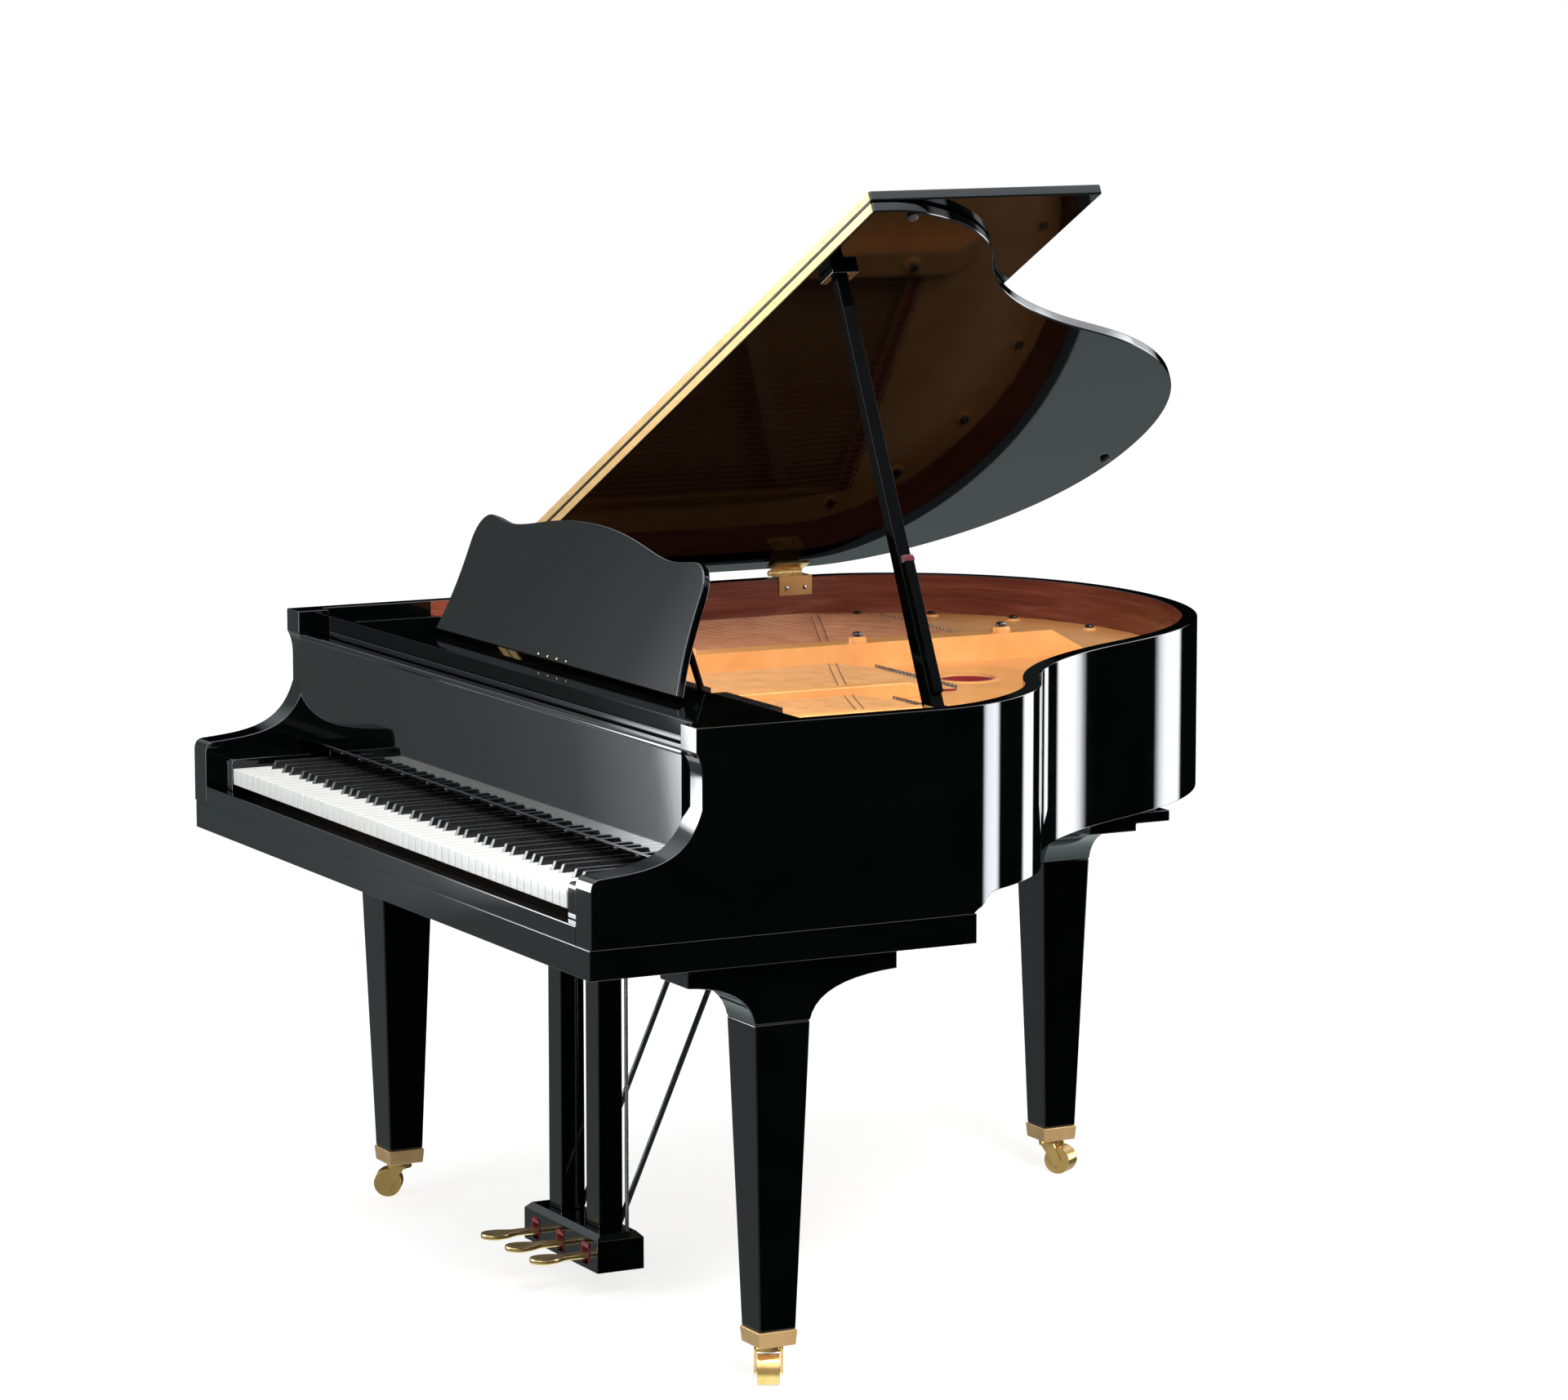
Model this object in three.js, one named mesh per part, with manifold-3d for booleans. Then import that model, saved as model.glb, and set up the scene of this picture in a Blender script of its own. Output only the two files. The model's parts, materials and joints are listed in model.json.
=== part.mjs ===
// Baby grand piano, lid raised on its long prop and the front flap folded back.
// Millimetres, +Z up. X runs to the treble side, Y from the player to the tail, Z = 0 is the floor.
// Everything is laid out about the middle of the keyboard; the whole piano is then moved so that its
// origin is the centre of its footprint.

import * as THREE from 'three';
import { mergeVertices } from 'three/addons/utils/BufferGeometryUtils.js';
import Module from 'manifold-3d';

const wasm = await Module();
wasm.setup();

// ---------------------------------------------------------------- driving dimensions

const gap = 0.3;                 // between touching pieces

const keyboardWidth = 1225;
const besideKeys = 117.5;        // from the last key out to the case's side
const caseHalfWidth = keyboardWidth / 2 + besideKeys;
const caseFront = -755;
const caseLength = 1489;
const tailY = caseFront + caseLength;
const trebleStraight = 559;      // straight length of the treble side
const bassStraight = 1105;       // straight length of the bass side
const waist = { x: caseHalfWidth - 178, y: caseFront + 818, slope: 24 };
const flank = { x: caseHalfWidth - 465, y: caseFront + 1118, slope: 27.5 };
const tailX = 465 - caseHalfWidth;

const keybedTop = 666;
const keybedThickness = 43;
const keybedBottom = keybedTop - keybedThickness;
const keybedSideInset = 5;
const keybedDepth = 613;
const keybedBack = caseFront + keybedDepth;
const keyslipThickness = 17;
const keyslipHeight = 28;

const rimHeight = 299.5;
const rimTop = keybedTop + rimHeight;
const rimWall = 25;
const rimRearBottom = keybedTop + 27;    // the rim is shallower behind the keybed
const armThickness = 50;
const armBack = caseFront + 215;         // the thicker arm ends here
const cheekFront = caseFront + 163;      // front of the full-height rim
const armTop = keybedTop + 100;

const keyCount = 52;
const naturalTop = keybedTop + 65;
const naturalThickness = 17;
const naturalFront = caseFront + 19;
const sharpFront = naturalFront + 54;
const sharpWidth = 10.5;
const sharpRise = 12;
const keyGap = 1;
const keyPivotY = naturalFront + 211;
const keyTailLength = 25;
const keyBack = keyPivotY + keyTailLength;
const keyShift = 3;              // the soft pedal moves the keyboard this far
const keyBlockTop = naturalTop + 14;
const keyBlockBack = naturalFront + 136;
const middleC = 23;              // its place among the naturals, counted from 0
const sharpBarTop = naturalTop + 21;

const hammerCount = 22;
const hammerSize = { x: 10, y: 14 };
const actionBottom = sharpBarTop + 6;
const actionTop = actionBottom + 42;

const fallboardThickness = 20;
const fallboardFront = caseFront + 165;
const fallboardHub = 8;
const fallboardPivot = { y: fallboardFront + 6, z: sharpBarTop + 11 };
const fallboardHeight = 167;
const fallboardTop = fallboardPivot.z + fallboardHeight;
const stretcherFront = fallboardFront + 25;
const stretcherThickness = 20;
const stopPadSize = 24;
const shelfThickness = 12;
const shelfTop = rimTop - 13.5;
const shelfBottom = shelfTop - shelfThickness;
const shelfDepth = 190;
const shelfBack = stretcherFront + shelfDepth;
const deskHalfWidth = 423;
const deskHeight = 196;
const deskCrown = 22;
const deskThickness = 12;
const deskFoot = { y: stretcherFront + 108, z: shelfTop + 5 };
const deskLean = 20;             // degrees back from upright
const strutReach = 75;           // from the desk's hinge back to the strut's
const strutWidth = 14;
const strutThickness = 6;
const strutX = deskHalfWidth - 93;
const strutHeight = 110;         // where the strut meets the desk, measured up the desk

const lidThickness = 15.5;
const lidOverhang = 2;
const lidClearance = 8;          // between the rim and the closed lid
const lidFold = caseFront + 533;
const flapDepth = 382;
const flapGap = 2.2;
const lidOpening = 27.7;         // degrees
const hingeLeaf = 2.5;
const hingeBarrel = 5;
const hingeStandoff = 10;        // from the lid's edge out to the hinge pin
const hingeLength = 62;
const hingeTurnDown = 30;
const hingePlaces = { front: -150, rear: 319 };
const foldLeaf = 1.2;
const foldBarrel = 1.3;

const propPivot = { x: caseHalfWidth - 56, y: -182, z: rimTop - 20.5 };
const propLean = 25.5;           // degrees from upright
const propFoot = 15;             // radius of the rounded foot
const propTip = 8;
const propTipChamfer = 4;
const propDepth = 20;
const propTipClearance = 0.8;
const shortPropStart = 30;
const shortPropEnd = 235;
const shortPropThickness = 11;
const shortPropDepth = 14;
const cupSize = 44;
const cupDepth = 12;
const cupFloor = 3;
const bracketCheek = 3;
const bracketFloor = 5;
const bracketHalf = 12;

const innerRimWidth = 45;
const innerRimLip = 22;         // beside the soundboard, up to the plate
const plateBottom = rimTop - 77.5;
const plateThickness = 12;
const plateTop = plateBottom + plateThickness;
const plateFront = caseFront + 280;
const plateHole = { x: 83, y: 204, r: 45 };
const plateStrutTop = plateTop + 40;
const plateStrutTail = 70;
const soundboardThickness = 8;
const soundboardBottom = plateBottom - 38;
const soundboardTop = soundboardBottom + soundboardThickness;
const bellyRailY = caseFront + 493;
const bellyRailThickness = 30;
const pinBlockBack = plateFront + 130;
const beamPlaces = [-420, -150, 120];
const beamDepth = 110;
const beamWidth = 70;
const bridgeWidth = 24;
const bridgeEnds = [[600, -215], [-600, 300]];
const bridgePulls = [[250, -120], [-80, 60]];

// String bays between the bars of the plate: x range and where the strings are hitched.
const bays = [
  { x0: -636, x1: -150, back: 420 },
  { x0: -86, x1: 190, back: 110 },
  { x0: 226, x1: 420, back: -30 },
  { x0: 456, x1: 632, back: -120 },
];
const dampedBays = bays.slice(0, 3);
const stringZ = plateTop + 12;
const stringSize = 2.4;
const stringPitch = 27;
const stringOverrun = 25;        // past the bay, onto the plate
const agraffeY = pinBlockBack + 11;
const agraffeDepth = 12;
const bayFront = agraffeY + agraffeDepth + 6;
const hammerFront = agraffeY + 2;
const actionBack = hammerFront + hammerSize.y + 2;
const damperHead = { x: 34, y: 28, z: 18 };
const damperWire = { x: 3, y: 4 };
const damperRail = { y: 12, z: 14 };
const damperRailFront = actionBack + 6;

const legTopHalf = 44;
const legBottomHalf = 29;
const legTop = keybedBottom - 93;
const legBottom = 80;
const frontLeg = { x: caseHalfWidth - 79, y: caseFront + 316 };
const rearLeg = { x: tailX - 38, y: tailY - 146 };
const blockThickness = 31;
const blockReach = 140;          // how far a leg block runs past the leg
const blockReachFront = 106;
const sweepDrop = 6;
const rearBlock = { reach: 148, bottom: keybedBottom - 25, thickness: 12 };
const rearPlank = { halfX: 192, halfY: 107, thickness: 18 };
const rearCleat = { halfX: 175, halfY: 90 };
const ferruleHeight = 23;
const ferruleFlare = 2;
const wheelRadius = 22.5;
const wheelWidth = 32;
const wheelSides = 24;
const wheelClear = 1;            // beside the wheel, in its fork
const casterTrail = 18;
const crownRadius = 20;
const forkCheek = 4;
const forkFront = 12;
const forkBack = 14;
const forkEye = 8;
const axleRadius = 4;

const lyrePostX = 66;
const lyrePostWidth = 45;
const lyrePostFront = caseFront + 320;
const lyrePostDepth = 40;
const lyreHeadThickness = 18;
const lyreHeadReach = 12;
const boxHalfWidth = 130;
const boxFront = caseFront + 297;
const boxBack = boxFront + 78;
const boxBottom = 43;
const boxTop = 101;
const boxChamfer = 9;
const boxBackWall = 3;
const pedalPitch = 88;
const pedalTip = boxFront - 92;
const pedalPivot = { y: boxFront + 28, z: 64 };
const pedalThickness = 8;
const pedalToe = 21;
const pedalNeck = 10;
const pedalSlot = { halfX: 13, below: 14, above: 20 };
const rodRadius = 3;
const rodClear = 0.6;
const rodY = boxBack - boxBackWall - rodRadius - 2;
const rodTop = keybedBottom + 11;
const rodLift = 8;               // room over a rod in the keybed
const braceRadius = 4.5;
const braceHeadY = -160;

// ---------------------------------------------------------------- finishes

const finishes = {
  lacquer: { color: 0x0b0d0d, roughness: 0.08, metalness: 0 },
  spruce: { color: 0xd9b377, roughness: 0.5, metalness: 0 },
  bareWood: { color: 0xb98a55, roughness: 0.6, metalness: 0 },
  gilt: { color: 0xe0a060, roughness: 0.35, metalness: 0.6 },
  brass: { color: 0xe0b96a, roughness: 0.2, metalness: 1 },
  steel: { color: 0xb8b8bc, roughness: 0.3, metalness: 1 },
  ivory: { color: 0xf6f5f0, roughness: 0.25, metalness: 0 },
  ebony: { color: 0x111111, roughness: 0.35, metalness: 0 },
};

const piano = new THREE.Group();
piano.name = 'baby_grand';

function add(name, geometry, finish, parent = piano) {
  geometry.deleteAttribute('normal');
  const mesh = new THREE.Mesh(geometry, new THREE.MeshStandardMaterial(finishes[finish]));
  mesh.name = name;
  parent.add(mesh);
  return mesh;
}

// ---------------------------------------------------------------- solids

const radians = THREE.MathUtils.degToRad;

function welded(geometry) {
  geometry.deleteAttribute('normal');
  geometry.deleteAttribute('uv');
  return mergeVertices(geometry, 1e-4);
}

function solid(geometry) {
  const bare = welded(geometry);
  const vertProperties = new Float32Array(bare.attributes.position.array);
  const triVerts = new Uint32Array(bare.index.array);
  return new wasm.Manifold(new wasm.Mesh({ numProp: 3, vertProperties, triVerts }));
}

function geometryOf(manifold) {
  const mesh = manifold.getMesh();
  const geometry = new THREE.BufferGeometry();
  geometry.setAttribute('position', new THREE.BufferAttribute(mesh.vertProperties, 3));
  geometry.setIndex(new THREE.BufferAttribute(mesh.triVerts, 1));
  return geometry;
}

function joined(...geometries) {
  return geometries.map(solid).reduce((whole, piece) => whole.add(piece));
}

function box(x0, x1, y0, y1, z0, z1) {
  const geometry = new THREE.BoxGeometry(x1 - x0, y1 - y0, z1 - z0);
  return geometry.translate((x0 + x1) / 2, (y0 + y1) / 2, (z0 + z1) / 2);
}

const flat = (points) => new THREE.Shape(points.map(([a, b]) => new THREE.Vector2(a, b)));

function extruded(shape, depth) {
  return new THREE.ExtrudeGeometry(shape, { depth, bevelEnabled: false, curveSegments: 10 });
}

// A plan outline in X and Y, from z0 up to z1.
const plan = (shape, z0, z1) => extruded(shape, z1 - z0).translate(0, 0, z0);

// A side profile in Y and Z, from x0 to x1.
function side(shape, x0, x1) {
  const turn = new THREE.Matrix4().set(0, 0, 1, x0, 1, 0, 0, 0, 0, 1, 0, 0, 0, 0, 0, 1);
  return extruded(shape, x1 - x0).applyMatrix4(turn);
}

// A front profile in X and Z, from y0 to y1.
function front(shape, y0, y1) {
  return extruded(shape, y1 - y0).rotateX(Math.PI / 2).translate(0, y1, 0);
}

function cylinder(radius, length, sides) {
  return new THREE.CylinderGeometry(radius, radius, length, sides);
}

// A round rod from one point to another.
function rod(from, to, radius, sides = 12) {
  const a = new THREE.Vector3(...from);
  const b = new THREE.Vector3(...to);
  const along = b.clone().sub(a);
  const geometry = cylinder(radius, along.length(), sides);
  const turn = new THREE.Quaternion().setFromUnitVectors(new THREE.Vector3(0, 1, 0), along.normalize());
  return geometry.applyQuaternion(turn).translate(...a.add(b).multiplyScalar(0.5).toArray());
}

// A square post from z0 to z1 that tapers from one half width to the other.
function squarePost(topHalf, bottomHalf, z0, z1) {
  const corner = Math.SQRT2;
  return new THREE.CylinderGeometry(topHalf * corner, bottomHalf * corner, z1 - z0, 4)
    .rotateY(Math.PI / 4)
    .rotateX(Math.PI / 2)
    .translate(0, 0, (z0 + z1) / 2);
}

// ---------------------------------------------------------------- case outline

// How far the outline's curves pull on each side of the points that shape them.
const pulls = {
  trebleEnd: 91,
  waistBefore: 95,
  waistAfter: 128,
  flankBefore: 161,
  flankAfter: 109,
  tailTreble: 366,
  tailBass: 300,
  bassEnd: 154,
};

// Treble side, S-shaped waist, tail and bass side, from front right round to front left.
function outlineCurves() {
  const point = (x, y) => new THREE.Vector2(x, y);
  const away = (from, slope, length) => from.clone().addScaledVector(slope, length);
  const waistSlope = point(-Math.cos(radians(waist.slope)), Math.sin(radians(waist.slope)));
  const flankSlope = point(-Math.sin(radians(flank.slope)), Math.cos(radians(flank.slope)));
  const trebleEnd = point(caseHalfWidth, caseFront + trebleStraight);
  const bassEnd = point(-caseHalfWidth, caseFront + bassStraight);
  const waistPoint = point(waist.x, waist.y);
  const flankPoint = point(flank.x, flank.y);
  const tail = point(tailX, tailY);
  const curve = (...points) => new THREE.CubicBezierCurve(...points);
  return [
    [new THREE.LineCurve(point(caseHalfWidth, caseFront), trebleEnd), 1],
    [curve(trebleEnd, point(caseHalfWidth, trebleEnd.y + pulls.trebleEnd),
      away(waistPoint, waistSlope, -pulls.waistBefore), waistPoint), 8],
    [curve(waistPoint, away(waistPoint, waistSlope, pulls.waistAfter),
      away(flankPoint, flankSlope, -pulls.flankBefore), flankPoint), 8],
    [curve(flankPoint, away(flankPoint, flankSlope, pulls.flankAfter),
      point(tailX + pulls.tailTreble, tailY), tail), 11],
    [curve(tail, point(tailX - pulls.tailBass, tailY),
      point(-caseHalfWidth, bassEnd.y + pulls.bassEnd), bassEnd), 11],
    [new THREE.LineCurve(bassEnd, point(-caseHalfWidth, caseFront)), 1],
  ];
}

// The outline moved outwards by offset, cut off square at the front at y.
function outline(offset, y) {
  const points = [[caseHalfWidth + offset, y]];
  outlineCurves().forEach(([curve, steps]) => {
    for (let step = 1; step <= steps; step += 1) {
      const at = curve.getPoint(step / steps);
      const along = curve.getTangent(step / steps);
      points.push([at.x + along.y * offset, at.y - along.x * offset]);
    }
  });
  points[points.length - 1] = [-caseHalfWidth - offset, y];
  return points;
}

const outlineShape = (offset, y) => flat(outline(offset, y));

// The band between two offsets of the outline, open at the front.
function band(outer, inner, y) {
  return flat([...outline(outer, y), ...outline(inner, y).reverse()]);
}

// ---------------------------------------------------------------- rim and keybed

const across = caseHalfWidth + 20;
const armInner = caseHalfWidth - armThickness;
const rimInner = caseHalfWidth - rimWall;
const betweenArms = armInner - gap;
const keysHalf = keyboardWidth / 2;

// The scrolled front of an arm: everything above and in front of it is cut away.
function armScroll() {
  const nose = 15;
  const noseZ = armTop - nose - 3;
  const shoulder = cheekFront + 9;
  const above = rimTop + 50;
  const scroll = new THREE.Shape();
  scroll.moveTo(caseFront, noseZ);
  scroll.quadraticCurveTo(caseFront, armTop - 1, caseFront + nose, armTop);
  scroll.bezierCurveTo(caseFront + 100, armTop + 6, shoulder - 22, armTop + 14, shoulder, armTop + 84);
  scroll.lineTo(shoulder, rimTop - 75);
  scroll.quadraticCurveTo(shoulder, rimTop - 50, cheekFront, rimTop - 36);
  scroll.lineTo(cheekFront, above);
  scroll.lineTo(caseFront - 50, above);
  scroll.lineTo(caseFront - 50, noseZ);
  return scroll;
}

// The rim's underside steps up behind the keybed.
function rearUndercut() {
  const start = keybedBack + 4;
  const end = start + 46;
  const sill = keybedTop + 4;
  const below = keybedTop - 50;
  const beyond = tailY + 100;
  const cut = new THREE.Shape();
  cut.moveTo(start, below);
  cut.lineTo(start, sill);
  cut.bezierCurveTo(start + 23, sill + 4, start + 15, rimRearBottom, end, rimRearBottom);
  cut.lineTo(beyond, rimRearBottom);
  cut.lineTo(beyond, below);
  return cut;
}

function rim() {
  const wall = plan(band(0, -rimWall, caseFront), keybedTop, rimTop);
  const overlap = 5;
  const cheeks = [-1, 1].map((sign) => {
    const [x0, x1] = sign < 0 ? [-rimInner - overlap, -armInner] : [armInner, rimInner + overlap];
    return box(x0, x1, caseFront, armBack, keybedTop, rimTop);
  });
  return joined(wall, ...cheeks)
    .subtract(solid(side(armScroll(), -across, across)))
    .subtract(solid(side(rearUndercut(), -across, across)));
}

function keybed() {
  const halfWidth = caseHalfWidth - keybedSideInset;
  const board = box(-halfWidth, halfWidth, caseFront, keybedBack, keybedBottom, keybedTop);
  const rodHoles = [-1, 0, 1].map((place) => {
    const x = place * pedalPitch;
    return rod([x, rodY, keybedBottom - 1], [x, rodY, rodTop + rodLift], rodRadius + rodClear);
  });
  return rodHoles.reduce((whole, hole) => whole.subtract(solid(hole)), solid(board));
}

add('rim', geometryOf(rim()), 'lacquer');
add('keybed', geometryOf(keybed()), 'lacquer');
add('keyslip', box(-betweenArms, betweenArms, caseFront, caseFront + keyslipThickness,
  keybedTop, keybedTop + keyslipHeight), 'lacquer');

for (const [name, sign] of [['key_block_left', -1], ['key_block_right', 1]]) {
  const near = keysHalf + keyShift + keyGap / 2;
  const edges = [sign * near, sign * betweenArms].sort((a, b) => a - b);
  const round = 8;
  const profile = new THREE.Shape();
  profile.moveTo(naturalFront, keybedTop);
  profile.lineTo(keyBlockBack, keybedTop);
  profile.lineTo(keyBlockBack, keyBlockTop);
  profile.lineTo(naturalFront + round, keyBlockTop);
  profile.quadraticCurveTo(naturalFront, keyBlockTop, naturalFront, keyBlockTop - round);
  add(name, side(profile, ...edges), 'lacquer');
}

// ---------------------------------------------------------------- keys

const keyPitch = keyboardWidth / keyCount;
const naturalBottom = naturalTop - naturalThickness;
const sharpBar = { y0: keyPivotY - 25, y1: keyPivotY - 2 };

// Sharp to the right of natural n (A is 0 in each octave), and how far it sits off the joint.
const sharpOffsets = { 0: 2.2, 2: -2.2, 3: 2.2, 5: -2.6, 6: 0 };
const sharpAfter = (n) => (n >= 0 && n < keyCount - 1 ? sharpOffsets[n % 7] : undefined);
const jointX = (n) => (n + 1) * keyPitch - keysHalf;
const sharpX = (n) => jointX(n) + sharpAfter(n);

// Plan of one natural from its back edge round the front: narrow between the sharps.
function naturalOutline(n, back) {
  const left = jointX(n - 1) + keyGap / 2;
  const right = jointX(n) - keyGap / 2;
  const clear = sharpWidth / 2 + keyGap;
  const notch = sharpFront - keyGap;
  const points = [];
  const leftNeck = sharpAfter(n - 1) === undefined ? left : Math.max(left, sharpX(n - 1) + clear);
  const rightNeck = sharpAfter(n) === undefined ? right : Math.min(right, sharpX(n) - clear);
  points.push([leftNeck, back]);
  if (leftNeck > left) points.push([leftNeck, notch], [left, notch]);
  points.push([left, naturalFront], [right, naturalFront]);
  if (rightNeck < right) points.push([right, notch], [rightNeck, notch]);
  points.push([rightNeck, back]);
  return points;
}

// A run of naturals joined along a bar behind the sharps.
function naturalRun(first, last) {
  const points = [];
  for (let n = first; n <= last; n += 1) {
    points.push(...naturalOutline(n, sharpBar.y1));
  }
  const left = jointX(first - 1) + keyGap / 2;
  const right = jointX(last) - keyGap / 2;
  points.push([right, sharpBar.y1], [right, keyBack], [left, keyBack], [left, sharpBar.y1]);
  return plan(flat(points), naturalBottom, naturalTop);
}

function naturals() {
  const rail = box(-keysHalf, keysHalf, keyPivotY, keyBack, keybedTop, naturalBottom);
  const runs = [naturalRun(0, middleC - 1), naturalRun(middleC + 2, keyCount - 1)];
  return joined(rail, ...runs);
}

function sharp(n, back) {
  const x = sharpX(n);
  return box(x - sharpWidth / 2, x + sharpWidth / 2, sharpFront, back, naturalBottom + gap,
    naturalTop + sharpRise);
}

function sharps() {
  const fixed = [];
  for (let n = 0; n < keyCount; n += 1) {
    if (sharpAfter(n) !== undefined && n !== middleC) fixed.push(sharp(n, sharpBar.y1));
  }
  const half = keysHalf - keyPitch;
  const bar = box(-half, half, sharpBar.y0, sharpBar.y1, naturalTop + gap, sharpBarTop);
  const x = sharpX(middleC);
  const clear = sharpWidth / 2 + keyGap;
  const tunnel = box(x - clear, x + clear, sharpBar.y0 - 1, sharpBar.y1 + 1,
    naturalTop - 1, naturalTop + sharpRise + keyGap);
  return joined(bar, ...fixed).subtract(solid(tunnel));
}

function singleNatural(n) {
  return plan(flat(naturalOutline(n, keyBack)), naturalBottom + gap, naturalTop);
}

add('white_keys', geometryOf(naturals()), 'ivory');
add('black_keys', geometryOf(sharps()), 'ebony');
add('key_middle_c', singleNatural(middleC), 'ivory');
add('key_middle_d', singleNatural(middleC + 1), 'ivory');
add('key_middle_c_sharp', sharp(middleC, keyBack), 'ebony');

// Hammers on their rail, standing behind the keys; they strike the strings just past the agraffes.
function action() {
  const pitch = keyboardWidth / hammerCount;
  const lap = 5;
  const rail = box(-keysHalf, keysHalf, keyBack - 15, actionBack, actionBottom, actionTop);
  const stand = box(-keysHalf, keysHalf, keyBack + gap, keyBack + 40, keybedTop, actionBottom);
  const hammers = [];
  for (let n = 0; n < hammerCount; n += 1) {
    const x = (n + 0.5) * pitch - keysHalf;
    hammers.push(box(x - hammerSize.x / 2, x + hammerSize.x / 2, hammerFront, hammerFront + hammerSize.y,
      actionTop - lap, plateBottom - 22));
  }
  return joined(rail, stand, ...hammers);
}
add('hammer_action', geometryOf(action()), 'bareWood');

// ---------------------------------------------------------------- fallboard, stretcher, shelf and desk

function fallboardProfile() {
  const { y, z } = fallboardPivot;
  const back = fallboardFront + fallboardThickness;
  const round = 4;
  const bead = 3;
  const profile = new THREE.Shape();
  profile.moveTo(fallboardFront, z + 7);
  profile.lineTo(y - fallboardHub * 0.75, z);
  profile.absarc(y, z, fallboardHub, Math.PI, 2 * Math.PI, false);
  profile.lineTo(back, z + 10);
  profile.lineTo(back, fallboardTop - round);
  profile.quadraticCurveTo(back, fallboardTop, back - round, fallboardTop);
  profile.lineTo(fallboardFront + 2, fallboardTop);
  profile.quadraticCurveTo(fallboardFront - bead, fallboardTop - round, fallboardFront, fallboardTop - 9);
  return profile;
}
add('fallboard', side(fallboardProfile(), -betweenArms, betweenArms), 'lacquer');

// The open fallboard leans on two pads on the stretcher.
function stretcher() {
  const back = stretcherFront + stretcherThickness;
  const padZ = fallboardTop - 40;
  const board = box(-betweenArms, betweenArms, stretcherFront, back, sharpBarTop + 16, shelfBottom - gap);
  const pads = [-armInner + 90, armInner - 90].map((x) => (
    box(x - stopPadSize / 2, x + stopPadSize / 2, fallboardFront + fallboardThickness + gap,
      stretcherFront + 1, padZ - stopPadSize / 2, padZ + stopPadSize / 2)));
  return joined(board, ...pads);
}
add('stretcher', geometryOf(stretcher()), 'lacquer');

function musicShelf() {
  const lipThickness = 10;
  const board = box(-betweenArms, betweenArms, stretcherFront, shelfBack, shelfBottom, shelfTop);
  const lip = box(-betweenArms, betweenArms, stretcherFront, stretcherFront + lipThickness,
    shelfTop - 1, rimTop - 2);
  return joined(board, lip);
}
add('music_shelf', geometryOf(musicShelf()), 'lacquer');

// The desk is drawn flat, X by height, then leaned back about its bottom back edge.
function deskShape() {
  const ear = deskHalfWidth - 71;
  const neck = deskHalfWidth - 25;
  const crown = deskHeight + deskCrown;
  const shape = new THREE.Shape();
  shape.moveTo(-deskHalfWidth, 0);
  shape.lineTo(deskHalfWidth, 0);
  shape.bezierCurveTo(deskHalfWidth - 18, 45, neck, 90, neck, deskHeight - 51);
  shape.bezierCurveTo(neck, deskHeight - 21, ear + 28, deskHeight, ear, deskHeight);
  shape.bezierCurveTo(ear - 27, deskHeight, ear - 52, deskHeight - 8, ear - 90, deskHeight - 6);
  shape.bezierCurveTo(ear - 152, deskHeight - 2, 130, crown, 0, crown);
  shape.bezierCurveTo(-130, crown, 152 - ear, deskHeight - 2, 90 - ear, deskHeight - 6);
  shape.bezierCurveTo(52 - ear, deskHeight - 8, 27 - ear, deskHeight, -ear, deskHeight);
  shape.bezierCurveTo(-ear - 28, deskHeight, -neck, deskHeight - 21, -neck, deskHeight - 51);
  shape.bezierCurveTo(-neck, 90, 18 - deskHalfWidth, 45, -deskHalfWidth, 0);
  return shape;
}

const desk = new THREE.Group();
desk.position.set(0, deskFoot.y, deskFoot.z);
desk.rotation.x = -radians(deskLean);
piano.add(desk);
add('music_desk', front(deskShape(), -deskThickness, 0), 'lacquer', desk);

// The strut stands on the shelf behind the desk and leans against its back.
function deskStrut() {
  const half = strutThickness / 2;
  const rise = new THREE.Vector2(Math.sin(radians(deskLean)), Math.cos(radians(deskLean)));
  const behind = new THREE.Vector2(rise.y, -rise.x);
  const foot = new THREE.Vector2(deskFoot.y + strutReach, shelfTop + gap + half);
  const tip = new THREE.Vector2(deskFoot.y, deskFoot.z)
    .addScaledVector(rise, strutHeight)
    .addScaledVector(behind, half + gap);
  const length = tip.distanceTo(foot);
  const bar = new THREE.Shape();
  bar.absarc(0, 0, half, Math.PI / 2, 1.5 * Math.PI, false);
  bar.lineTo(length, -half);
  bar.absarc(length, 0, half, -Math.PI / 2, Math.PI / 2, false);
  const angle = Math.atan2(tip.y - foot.y, tip.x - foot.x);
  const geometry = side(bar, strutX - strutWidth / 2, strutX + strutWidth / 2);
  return geometry.rotateX(angle).translate(0, foot.x, foot.y);
}
add('desk_strut', deskStrut(), 'lacquer');

// ---------------------------------------------------------------- sound body

const innerFace = -rimWall - gap;
// The soundboard lies on the inner rim, inside a lip that carries the plate.
const innerRim = joined(
  plan(band(innerFace, innerFace - innerRimWidth, bellyRailY), rimRearBottom, soundboardBottom),
  plan(band(innerFace, innerFace - innerRimLip, bellyRailY), soundboardBottom - 1, plateBottom),
);
add('inner_rim', geometryOf(innerRim), 'bareWood');
add('soundboard', plan(outlineShape(innerFace - innerRimLip - gap, bellyRailY - 12),
  soundboardBottom, soundboardTop), 'spruce');

function backBeams() {
  const bottom = rimRearBottom;
  const region = plan(outlineShape(innerFace - innerRimWidth - gap, bellyRailY), bottom, soundboardBottom);
  const rail = box(-across, across, bellyRailY, bellyRailY + bellyRailThickness, bottom, soundboardBottom);
  const beams = beamPlaces.map((x) => (
    box(x - beamWidth / 2, x + beamWidth / 2, bellyRailY, tailY, bottom, bottom + beamDepth)));
  return joined(rail, ...beams).intersect(solid(region));
}
add('back_beams', geometryOf(backBeams()), 'bareWood');

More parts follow.
